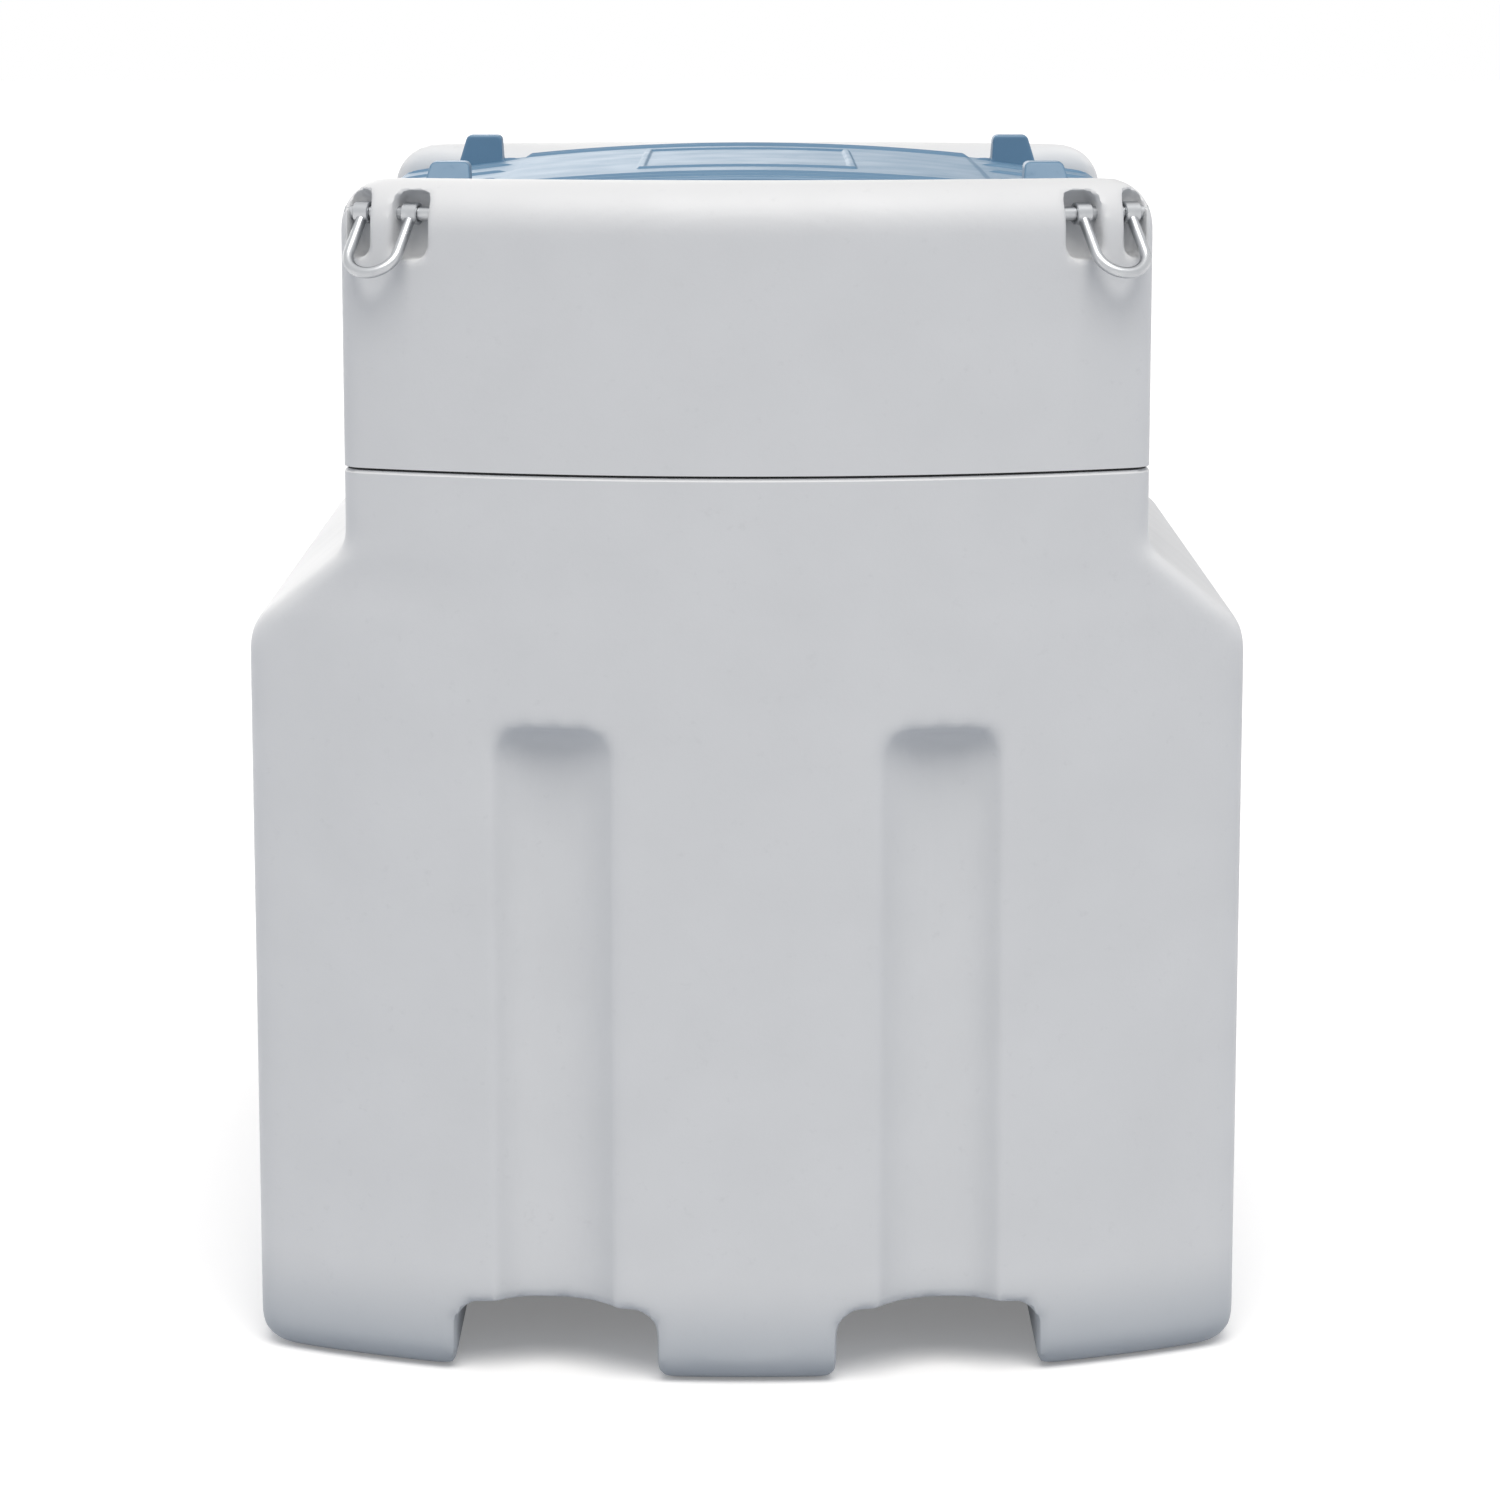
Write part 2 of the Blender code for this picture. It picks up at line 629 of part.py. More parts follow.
deck_low = SEAM_Z - DECK - PAST
deck_high = SEAM_Z + PAST
deck_holes = {
    "manhole": (0.0, MANHOLE_Y, MANHOLE_BORE, BIG_TURN_STEPS),
    "filler": (FILLER_X, FITTINGS_Y, FILLER_BORE + FILLER_WALL + GAP, TURN_STEPS),
    "vent": (VENT_X, FITTINGS_Y, VENT_BORE + VENT_WALL + GAP, TURN_STEPS),
    "suction": (0.0, FITTINGS_Y, SOCKET_RADIUS + GAP, TURN_STEPS),
}
for hole, (x, y, radius, steps) in deck_holes.items():
    combine(tank, cylinder("cut_deck_" + hole, radius, (x, y, deck_low), (x, y, deck_high), steps))


# ------------------------------------------------------------------ seal in the seam
def seal_ring(outer):
    """Section of the seal at one of its two edges."""
    shrink = SEAL_SETBACK + (0.0 if outer else SEAL_WIDTH)
    return (NECK_HALF - shrink, Y_FRONT + shrink, NECK_REAR - shrink, NECK_CORNER - SEAL_SETBACK)


seal_low = SEAM_Z + GAP
seal_high = seal_low + SEAL_THICK
seal = loft("seam_seal", [ring(*seal_ring(True), seal_low), ring(*seal_ring(True), seal_high)],
            RUBBER)
combine(seal, loft("cut_seal", [ring(*seal_ring(False), seal_low - PAST),
                                ring(*seal_ring(False), seal_high + PAST)]))

# ------------------------------------------------------------------ cabinet
cabinet_rings = [ring(NECK_HALF, Y_FRONT, NECK_REAR, NECK_CORNER, CABINET_Z)]
for i in range(ARC_STEPS + 2):
    angle = math.pi / 2 * i / (ARC_STEPS + 1)
    shrink = RIM_ROUND * (1 - math.cos(angle))
    height = RIM_Z - RIM_ROUND * (1 - math.sin(angle))
    corner = max(NECK_CORNER - RIM_CORNER_LOSS * shrink, RIM_CORNER_LEAST * NECK_CORNER)
    cabinet_rings.append(ring(NECK_HALF - shrink, Y_FRONT + shrink, NECK_REAR - shrink,
                              corner, height))
cabinet = loft("upper_housing", cabinet_rings, NATURAL_PE)

# saddle between the gables, where the lid lies
combine(cabinet, box("cut_saddle", (-WIDTH / 2, Y_FRONT + GABLE, LID_BOTTOM - LID_SEAT_GAP),
                     (WIDTH / 2, NECK_REAR - GABLE, RIM_Z + FAR_PAST)))

# compartment, a little narrower at the flange on its foot
flat = Matrix.Identity(4)
room = rounded_box(-ROOM_HALF, ROOM_HALF, ROOM_FRONT, ROOM_REAR, CABINET_CORNER)
combine(cabinet, extruded("cut_room", room, CABINET_Z + FLANGE_THICK, RIM_Z, flat))
foot = rounded_box(-ROOM_HALF + FLANGE, ROOM_HALF - FLANGE, ROOM_FRONT + FLANGE,
                   ROOM_REAR - FLANGE, CABINET_CORNER)
combine(cabinet, extruded("cut_foot", foot, CABINET_Z - PAST, RIM_Z + PAST, flat))

# hollows of the two gables, open below
gable_deep = bow(GABLE_HOLLOW_WIDTH / 2) + GABLE_SHELL
for end, near, far in (("front", Y_FRONT + gable_deep, ROOM_FRONT - GABLE_SHELL),
                       ("rear", ROOM_REAR + GABLE_SHELL, NECK_REAR - gable_deep)):
    combine(cabinet, box("cut_gable_" + end, (-GABLE_HOLLOW_WIDTH / 2, near, CABINET_Z - PAST),
                         (GABLE_HOLLOW_WIDTH / 2, far, LID_BOTTOM - GABLE_SHELL)))

# bolts that hold the cabinet to the tank
housing_bolts = {
    "front_left": (-ROOM_HALF / 2, ROOM_FRONT + FLANGE / 2),
    "front_right": (ROOM_HALF / 2, ROOM_FRONT + FLANGE / 2),
    "rear_left": (-ROOM_HALF / 2, ROOM_REAR - FLANGE / 2),
    "rear_right": (ROOM_HALF / 2, ROOM_REAR - FLANGE / 2),
    "left": (-ROOM_HALF + FLANGE / 2, MANHOLE_Y - MANHOLE_BORE),
    "right": (ROOM_HALF - FLANGE / 2, MANHOLE_Y - MANHOLE_BORE),
}


def bolt(name, x, y, seat, holed):
    """Hexagon-head bolt on a seat; cuts its hole in each piece it goes through."""
    tip = seat - BOLT_LENGTH
    for piece in holed:
        combine(piece, cylinder(f"cut_{name}_{piece.name}", BOLT_RADIUS + GAP,
                                (x, y, tip - GAP), (x, y, seat + BOLT_HOLE_PAST),
                                BOLT_HOLE_SIDES))
    turned(name, [(0.0, seat + GAP + BOLT_HEAD_HEIGHT), (BOLT_HEAD, seat + GAP + BOLT_HEAD_HEIGHT),
                  (BOLT_HEAD, seat + GAP), (BOLT_RADIUS, seat + GAP), (BOLT_RADIUS, tip),
                  (0.0, tip)], (x, y, 0.0), BOLT_SIDES, ZINC)


for place, (x, y) in housing_bolts.items():
    bolt("housing_bolt_" + place, x, y, CABINET_Z + FLANGE_THICK, [cabinet, seal, tank])


# ------------------------------------------------------------------ lifting bails
def corner_frame(across, along):
    """Frame on the bowed face at a bail: X along the bar, Y out of the face, Z up.

    across is -1 on the left and 1 on the right, along is -1 at the front and 1 at the rear.
    """
    lean = math.asin(BAIL_CENTRE / BOW_RADIUS)
    depth = bow(BAIL_CENTRE)
    y = Y_FRONT + depth if along < 0 else NECK_REAR - depth
    outward = Vector((across * math.sin(lean), along * math.cos(lean), 0.0))
    tangent = Vector((across * math.cos(lean), -along * math.sin(lean), 0.0))
    frame = Matrix.Identity(4)
    frame.col[0] = (*tangent, 0.0)
    frame.col[1] = (*outward, 0.0)
    frame.col[3] = (across * BAIL_CENTRE, y, 0.0, 1.0)
    return frame


def bail_mesh():
    """U of round rod with a strap eye on each leg, hanging from the origin along -Z."""
    straight = BAIL_LENGTH - BAIL_HALF
    start = -(BAR_RADIUS + RUN + EYE_THICK / 2)
    bend = arc((0.0, -straight), BAIL_HALF, 180, 360, BAIL_STEPS)
    line = [(-BAIL_HALF, 0.0, start)] + [(a, 0.0, b) for a, b in bend]
    line.append((BAIL_HALF, 0.0, start))
    rod = pipe("bail_rod", line, ROD_RADIUS, ZINC, 1)
    inner = BAR_RADIUS + RUN
    outer = inner + EYE_THICK
    half = EYE_WIDTH / 2
    for sign in (-1, 1):
        rim = [(outer, half), (outer, -half), (inner, -half), (inner, half)]
        eye = turned(f"bail_eye_{sign}", rim, (sign * BAIL_HALF, 0.0, 0.0), ROD_STEPS, None, "X")
        combine(rod, eye, "UNION")
    solid = baked(rod)
    bpy.data.objects.remove(rod, do_unlink=True)
    return solid


bail_shape = bail_mesh()
corners = {
    "front_left": (-1, -1),
    "front_right": (1, -1),
    "rear_left": (-1, 1),
    "rear_right": (1, 1),
}
for place, (across, along) in corners.items():
    frame = corner_frame(across, along)
    upright = frame @ Matrix(((1, 0, 0, 0), (0, 0, 1, 0), (0, 1, 0, 0), (0, 0, 0, 1)))
    slots = {
        "outer": (RIB_HALF, SLOT_OUTER),
        "inner": (-SLOT_INNER, -RIB_HALF),
    }
    for which, (left, right) in slots.items():
        outline = rounded_box(left, right, SLOT_FLOOR_Z, SLOT_CEILING_Z, SLOT_ROUND, 2)
        combine(cabinet, extruded(f"cut_slot_{place}_{which}", outline, -SLOT_DEPTH, FAR_PAST,
                                  upright))
    axis_point = Vector((0.0, -BAR_SETBACK, BAIL_Z))
    low = frame @ (axis_point - Vector((SLOT_INNER + BAR_SEAT, 0, 0)))
    high = frame @ (axis_point + Vector((SLOT_OUTER + BAR_SEAT, 0, 0)))
    along_bar = (high - low).normalized()
    combine(cabinet, cylinder("cut_bar_" + place, BAR_RADIUS + GAP, low - along_bar * GAP,
                              high + along_bar * GAP, ROD_STEPS))
    cylinder("bail_bar_" + place, BAR_RADIUS, low, high, ROD_STEPS, ZINC)
    bail = add_object("lift_bail_" + place, bail_shape.copy(), ZINC)
    # the hanging legs lean out, and two of the four corner frames are left-handed
    facing = Matrix.Diagonal((across * along, 1.0, 1.0, 1.0))
    lean = Matrix.Rotation(BAIL_REST, 4, "X")
    bail.matrix_world = frame @ Matrix.Translation(axis_point) @ facing @ lean


# ------------------------------------------------------------------ lid
VAULT_RADIUS = (LID_HALF ** 2 + LID_RISE ** 2) / (2 * LID_RISE)


def vault(x, lift=0.0):
    """Height of the lid's vaulted top at x, raised or sunk by lift."""
    return LID_EDGE_Z + LID_RISE - bow(x, VAULT_RADIUS) + lift


def panel_lift(x):
    """Extra height of the middle panel at x."""
    share = (PANEL_HALF - abs(x)) / PANEL_FOLD
    return PANEL_RISE * min(1.0, max(0.0, share))


def spread(low, high, steps):
    """Even values between two limits, both included."""
    return [low + (high - low) * i / steps for i in range(steps + 1)]


def lid_outline():
    """Section of the lid: vault with its raised panel, straight skirts, round lower edges."""
    stops = spread(-LID_HALF, -PANEL_HALF, SIDE_STEPS)
    stops += spread(-PANEL_HALF + PANEL_FOLD, PANEL_HALF - PANEL_FOLD, VAULT_STEPS)
    stops += spread(PANEL_HALF, LID_HALF, SIDE_STEPS)
    top = [(x, vault(x) + panel_lift(x)) for x in reversed(stops)]
    low_left = arc((HINGE_X, HINGE_Z), HINGE_BARREL, 180, 270, SMALL_ARC_STEPS)
    low_right = [(-a, b) for a, b in reversed(low_left)]
    return top + low_left + low_right


def vault_band(name, left, right, near, far, rise, steps):
    """Raised band that follows the vault."""
    stops = spread(left, right, steps)
    outline = [(x, vault(x, panel_lift(x) + rise)) for x in stops]
    outline += [(x, vault(x, panel_lift(x) - SINK)) for x in reversed(stops)]
    return extruded(name, outline, near, far)


lid = extruded("lid", lid_outline(), LID_FRONT, LID_REAR, None, BLUE_PE)
hollow_half = LID_HALF - LID_SHELL
hollow = [(x, vault(x, -LID_SHELL)) for x in spread(hollow_half, -hollow_half, VAULT_STEPS)]
hollow += [(-hollow_half, LID_BOTTOM - PAST), (hollow_half, LID_BOTTOM - PAST)]
combine(lid, extruded("cut_lid_hollow", hollow, LID_FRONT + LID_SHELL, LID_REAR - LID_SHELL))

for number, inset in enumerate(BEAD_INSETS):
    for end, middle in (("front", LID_FRONT + inset), ("rear", LID_REAR - inset)):
        reach = PANEL_HALF - PANEL_FOLD
        combine(lid, vault_band(f"bead_{end}_{number}", -reach, reach, middle - BEAD_WIDTH / 2,
                                middle + BEAD_WIDTH / 2, BEAD_RISE, VAULT_STEPS), "UNION")

for number in range(RIB_COUNT):
    middle = LID_MIDDLE + RIB_PITCH * (number - (RIB_COUNT - 1) / 2)
    for side, sign in (("left", -1), ("right", 1)):
        ends = sorted((sign * (PANEL_HALF + RIB_EDGE), sign * (LID_HALF - RIB_EDGE)))
        combine(lid, vault_band(f"rib_{side}_{number}", ends[0], ends[1], middle - RIB_WIDTH / 2,
                                middle + RIB_WIDTH / 2, RIB_RISE, SIDE_STEPS), "UNION")

frame_band = vault_band("frame_outer", -FRAME_WIDTH / 2, FRAME_WIDTH / 2,
                        LID_MIDDLE - FRAME_LENGTH / 2, LID_MIDDLE + FRAME_LENGTH / 2,
                        FRAME_RISE, VAULT_STEPS)
inner_half = FRAME_WIDTH / 2 - FRAME_BAND
inner_reach = FRAME_LENGTH / 2 - FRAME_BAND
combine(frame_band, box("cut_frame", (-inner_half, LID_MIDDLE - inner_reach, LID_BOTTOM),
                        (inner_half, LID_MIDDLE + inner_reach, RIM_Z + FAR_PAST)))
combine(lid, frame_band, "UNION")


def lug_outline(sign):
    """Front view of a lug: upright inner side, slanted outer side, round top corners."""
    inner = LUG_CENTRE - LUG_WIDTH / 2
    outer = LUG_CENTRE + LUG_WIDTH / 2
    base = vault(LUG_CENTRE) - LUG_SINK
    top = vault(LUG_CENTRE) + LUG_HEIGHT
    flange = vault(LUG_CENTRE) + LUG_FLANGE
    line = filleted([
        (outer + LUG_FLANGE, flange - LUG_FOOT_SLOPE, 0.0),
        (outer, flange - LUG_FOOT_SLOPE, LUG_FOOT_ROUND),
        (inner + LUG_TOP_WIDTH, top, LUG_ROUND),
        (inner, top, LUG_ROUND),
        (inner, flange + LUG_FOOT_SLOPE, LUG_FOOT_ROUND),
        (inner - LUG_FLANGE, flange + LUG_FOOT_SLOPE, 0.0),
    ], SMALL_ARC_STEPS)
    line = [(outer + LUG_FLANGE, base)] + line + [(inner - LUG_FLANGE, base)]
    return [(sign * a, b) for a, b in line]


for end, middle in (("front", LID_FRONT + LUG_INSET), ("rear", LID_REAR - LUG_INSET)):
    for side, sign in (("left", -1), ("right", 1)):
        combine(lid, extruded(f"lug_{end}_{side}", lug_outline(sign), middle - LUG_LENGTH / 2,
                              middle + LUG_LENGTH / 2), "UNION")

# hinge along the lid's left edge
for end, face, inward in (("front", LID_FRONT, 1), ("rear", LID_REAR, -1)):
    gable_face = face - inward * LID_END_GAP
    barrel_end = face + inward * (HINGE_PIN_REACH + LID_SHELL)
    combine(lid, cylinder("barrel_" + end, HINGE_BARREL - BARREL_TUCK,
                          (HINGE_X, face + inward * BARREL_INSET, HINGE_Z),
                          (HINGE_X, barrel_end, HINGE_Z), ROD_STEPS), "UNION")
    combine(lid, cylinder("cut_pin_" + end, HINGE_PIN_RADIUS + HINGE_PIN_PLAY,
                          (HINGE_X, face - inward * PAST, HINGE_Z),
                          (HINGE_X, face + inward * (HINGE_PIN_REACH + GAP), HINGE_Z), ROD_STEPS))
    combine(cabinet, cylinder("cut_seat_" + end, HINGE_PIN_RADIUS + GAP,
                              (HINGE_X, gable_face - inward * (HINGE_SEAT_REACH + GAP), HINGE_Z),
                              (HINGE_X, gable_face + inward * PAST, HINGE_Z), ROD_STEPS))
    cylinder("hinge_pin_" + end, HINGE_PIN_RADIUS,
             (HINGE_X, gable_face - inward * HINGE_SEAT_REACH, HINGE_Z),
             (HINGE_X, face + inward * HINGE_PIN_REACH, HINGE_Z), ROD_STEPS, STAINLESS)

hinge_point = Vector((HINGE_X, LID_MIDDLE, HINGE_Z))
lid.data.transform(Matrix.Translation(-hinge_point))
lid.location = hinge_point


# ------------------------------------------------------------------ manhole
def grips(target, name, count, radius, width, reach, low, high):
    """Joins finger grips round a turned piece."""
    for i in range(count):
        angle = 2 * math.pi * (i + 0.5) / count
        grip = box(f"{name}_grip_{i}", (radius - GRIP_SINK, -width / 2, low),
                   (radius + reach, width / 2, high))
        spin = Matrix.Rotation(angle, 4, "Z")
        place = Matrix.Translation(target.location)
        grip.matrix_world = place @ spin @ Matrix.Translation(grip.location)
        combine(target, grip, "UNION")


flange_top = SEAM_Z + GAP + MANHOLE_FLANGE_THICK
collar_top = flange_top + MANHOLE_COLLAR_HEIGHT
manhole = turned("manhole_ring", [
    (MANHOLE_COLLAR, collar_top), (MANHOLE_COLLAR, flange_top), (MANHOLE_FLANGE, flange_top),
    (MANHOLE_FLANGE, SEAM_Z + GAP), (MANHOLE_BORE, SEAM_Z + GAP), (MANHOLE_BORE, collar_top),
], (0.0, MANHOLE_Y, 0.0), BIG_TURN_STEPS, BLACK_PP)

gasket_low = collar_top + GAP
gasket_high = gasket_low + GASKET_THICK
turned("manhole_gasket", [
    (MANHOLE_COLLAR - GASKET_SETBACK, gasket_high), (MANHOLE_COLLAR - GASKET_SETBACK, gasket_low),
    (MANHOLE_COLLAR - GASKET_WIDTH, gasket_low), (MANHOLE_COLLAR - GASKET_WIDTH, gasket_high),
], (0.0, MANHOLE_Y, 0.0), BIG_TURN_STEPS, RUBBER)

cover_low = gasket_high + GAP
cover_top = cover_low + COVER_SHELL
cover = turned("manhole_cover", [
    (0.0, cover_top + COVER_DOME), (COVER_DOME_TOP, cover_top + COVER_DOME),
    (COVER_DOME_FOOT, cover_top), (COVER_RADIUS - COVER_CHAMFER, cover_top),
    (COVER_RADIUS, cover_top - COVER_CHAMFER), (COVER_RADIUS, cover_low - COVER_SKIRT),
    (COVER_RADIUS - COVER_SHELL, cover_low - COVER_SKIRT), (COVER_RADIUS - COVER_SHELL, cover_low),
    (COVER_DOME_FOOT - COVER_DOME_SHIFT, cover_low),
    (COVER_DOME_TOP - COVER_DOME_SHIFT, cover_low + COVER_DOME), (0.0, cover_low + COVER_DOME),
], (0.0, MANHOLE_Y, 0.0), BIG_TURN_STEPS, BLUE_PP)
grips(cover, "cover", COVER_GRIPS, COVER_RADIUS, GRIP_WIDTH, GRIP_REACH,
      cover_low - COVER_SKIRT + GRIP_FOOT, cover_top - GRIP_HEAD)

bolt_circle = (MANHOLE_FLANGE + COVER_RADIUS + GRIP_REACH) / 2
for i in range(RING_BOLTS):
    angle = 2 * math.pi * (i + 0.5) / RING_BOLTS
    bolt(f"ring_bolt_{i + 1}", bolt_circle * math.cos(angle),
         MANHOLE_Y + bolt_circle * math.sin(angle), flange_top, [manhole, tank])

# ------------------------------------------------------------------ filler
filler_outer = FILLER_BORE + FILLER_WALL
filler_seat = SEAM_Z + GAP + FILLER_FLANGE_THICK
filler_top = filler_seat + FILLER_HEIGHT
turned("filler_neck", [
    (filler_outer, filler_top), (filler_outer, filler_seat), (FILLER_FLANGE, filler_seat),
    (FILLER_FLANGE, SEAM_Z + GAP), (filler_outer, SEAM_Z + GAP),
    (filler_outer, SEAM_Z - DECK - FILLER_DROP), (FILLER_BORE, SEAM_Z - DECK - FILLER_DROP),
    (FILLER_BORE, filler_top),
], (FILLER_X, FITTINGS_Y, 0.0), TURN_STEPS, BLACK_PP)

cap_inner = filler_outer + RUN
cap_low = filler_top + GAP
filler_cap = turned("filler_cap", [
    (0.0, cap_low + CAP_WALL), (cap_inner + CAP_WALL - CAP_CHAMFER, cap_low + CAP_WALL),
    (cap_inner + CAP_WALL, cap_low + CAP_WALL - CAP_CHAMFER),
    (cap_inner + CAP_WALL, filler_top - CAP_LENGTH), (cap_inner, filler_top - CAP_LENGTH),
    (cap_inner, cap_low), (0.0, cap_low),
], (FILLER_X, FITTINGS_Y, 0.0), TURN_STEPS, BLUE_PP)
grips(filler_cap, "filler_cap", CAP_GRIPS, cap_inner + CAP_WALL, CAP_GRIP_WIDTH, CAP_GRIP_REACH,
      filler_top - CAP_LENGTH + GRIP_FOOT, cap_low)

# ------------------------------------------------------------------ breather
vent_outer = VENT_BORE + VENT_WALL
vent_seat = SEAM_Z + GAP + VENT_FLANGE_THICK
vent_top = vent_seat + VENT_HEIGHT
turned("vent_body", [
    (vent_outer, vent_top), (vent_outer, vent_seat), (VENT_FLANGE, vent_seat),
    (VENT_FLANGE, SEAM_Z + GAP), (vent_outer, SEAM_Z + GAP),
    (vent_outer, SEAM_Z - DECK - VENT_DROP), (VENT_BORE, SEAM_Z - DECK - VENT_DROP),
    (VENT_BORE, vent_top),
], (VENT_X, FITTINGS_Y, 0.0), TURN_STEPS, BLACK_PP)

vent_low = vent_top + GAP
turned("vent_cap", [
    (0.0, vent_low + VENT_CAP_RISE), (VENT_CAP_RADIUS / 2, vent_low + VENT_CAP_RISE - VENT_CAP_SLOPE),
    (VENT_CAP_RADIUS, vent_low), (VENT_CAP_RADIUS, vent_low - VENT_CAP_HEIGHT),
    (VENT_CAP_RADIUS - VENT_CAP_SHELL, vent_low - VENT_CAP_HEIGHT),
    (VENT_CAP_RADIUS - VENT_CAP_SHELL, vent_low - VENT_CAP_SLOPE),
    (vent_outer + VENT_SLIT, vent_low), (0.0, vent_low),
], (VENT_X, FITTINGS_Y, 0.0), TURN_STEPS, BLACK_PP)

# ------------------------------------------------------------------ suction line
suction_place = (0.0, FITTINGS_Y, 0.0)
suction_seat = SEAM_Z + GAP + SUCTION_FLANGE_THICK
socket_bore = PIPE_RADIUS + GAP
socket_top = suction_seat + PIPE_HEIGHT
turned("suction_flange", [
    (SOCKET_RADIUS, socket_top), (SOCKET_RADIUS, suction_seat), (SUCTION_FLANGE, suction_seat),
    (SUCTION_FLANGE, SEAM_Z + GAP), (SOCKET_RADIUS, SEAM_Z + GAP),
    (SOCKET_RADIUS, SEAM_Z - DECK - SUCTION_DROP), (socket_bore, SEAM_Z - DECK - SUCTION_DROP),
    (socket_bore, socket_top),
], suction_place, TURN_STEPS, BLACK_PP)

strainer_low = WALL + GAP
pipe_low = strainer_low + PIPE_STAND
turned("suction_pipe", [
    (PIPE_RADIUS, socket_top), (PIPE_RADIUS, pipe_low), (PIPE_BORE, pipe_low),
    (PIPE_BORE, socket_top),
], suction_place, TURN_STEPS, PIPE_PE)

strainer_top = strainer_low + STRAINER_HEIGHT
strainer = turned("foot_strainer", [
    (STRAINER_RADIUS, strainer_top), (STRAINER_RADIUS, strainer_low), (0.0, strainer_low),
    (0.0, strainer_low + STRAINER_SHELL),
    (STRAINER_RADIUS - STRAINER_SHELL, strainer_low + STRAINER_SHELL),
    (STRAINER_RADIUS - STRAINER_SHELL, strainer_top - STRAINER_SHELL),
    (socket_bore, strainer_top - STRAINER_SHELL), (socket_bore, strainer_top),
], suction_place, TURN_STEPS, BLACK_PP)
for i in range(STRAINER_SLOTS // 2):
    half_slot = STRAINER_SLOT_WIDTH / 2
    reach = STRAINER_RADIUS + PAST
    slot = box(f"cut_strainer_{i}", (-reach, -half_slot, strainer_low + STRAINER_FOOT),
               (reach, half_slot, strainer_top - STRAINER_HEAD))
    spin = Matrix.Rotation(math.pi * (i + 0.5) / (STRAINER_SLOTS // 2), 4, "Z")
    slot.matrix_world = Matrix.Translation(suction_place) @ spin @ Matrix.Translation(slot.location)
    combine(strainer, slot)

# elbow from the socket's top to the valve
elbow_start = socket_top + GAP
bend = arc((ELBOW_RADIUS, LINE_Z - ELBOW_RADIUS), ELBOW_RADIUS, 180, 90, ELBOW_STEPS)
elbow_line = [(0.0, FITTINGS_Y, elbow_start)] + [(a, FITTINGS_Y, b) for a, b in bend]
valve_start = ELBOW_RADIUS + ELBOW_RISE
elbow_line.append((valve_start, FITTINGS_Y, LINE_Z))
elbow = pipe("outlet_elbow", elbow_line, SOCKET_RADIUS, BLACK_PP)
bore_line = [(0.0, FITTINGS_Y, elbow_start - PAST)] + elbow_line[1:-1]
bore_line.append((valve_start + PAST, FITTINGS_Y, LINE_Z))
combine(elbow, pipe("cut_elbow", bore_line, PIPE_BORE))

# ------------------------------------------------------------------ ball valve
valve_middle = valve_start + GAP + VALVE_LENGTH / 2
valve_place = (valve_middle, FITTINGS_Y, LINE_Z)
half_valve = VALVE_LENGTH / 2
ball_room = BALL_RADIUS + RUN
room_reach = math.sqrt(ball_room ** 2 - PIPE_BORE ** 2)
hollow_arc = []
for i in range(BALL_STEPS + 1):
    height = room_reach * (2 * i / BALL_STEPS - 1)
    hollow_arc.append((math.sqrt(ball_room ** 2 - height ** 2), height))
valve = turned("valve_body", [
    (VALVE_END_RADIUS, half_valve), (VALVE_END_RADIUS, VALVE_END_SHARE * half_valve),
    (VALVE_BODY_RADIUS, VALVE_BODY_SHARE * half_valve),
    (VALVE_BODY_RADIUS, -VALVE_BODY_SHARE * half_valve),
    (VALVE_END_RADIUS, -VALVE_END_SHARE * half_valve), (VALVE_END_RADIUS, -half_valve),
    (PIPE_BORE, -half_valve), *hollow_arc, (PIPE_BORE, half_valve),
], valve_place, TURN_STEPS, STAINLESS, "X")
combine(valve, cylinder("cut_stem", STEM_RADIUS + RUN, valve_place,
                        (valve_middle, FITTINGS_Y, LINE_Z + VALVE_BODY_RADIUS + PAST), ROD_STEPS))

ball_arc = []
ball_reach = math.sqrt(BALL_RADIUS ** 2 - PIPE_BORE ** 2)
for i in range(BALL_STEPS + 1):
    height = ball_reach * (1 - 2 * i / BALL_STEPS)
    ball_arc.append((math.sqrt(BALL_RADIUS ** 2 - height ** 2), height))
turned("valve_ball", ball_arc, valve_place, TURN_STEPS, STAINLESS, "X")

lever = cylinder("valve_lever", STEM_RADIUS, (valve_middle, FITTINGS_Y, LINE_Z + BALL_RADIUS + GAP),
                 (valve_middle, FITTINGS_Y, LINE_Z + STEM_HEIGHT), ROD_STEPS, STAINLESS)
blade = rounded_box(-LEVER_WIDTH / 2, LEVER_LENGTH, -LEVER_WIDTH / 2, LEVER_WIDTH / 2, LEVER_ROUND)
blade_tool = extruded("lever_blade", blade, STEM_HEIGHT - LEVER_THICK, STEM_HEIGHT - LEVER_SETDOWN,
                      flat)
blade_tool.location = valve_place
combine(lever, blade_tool, "UNION")

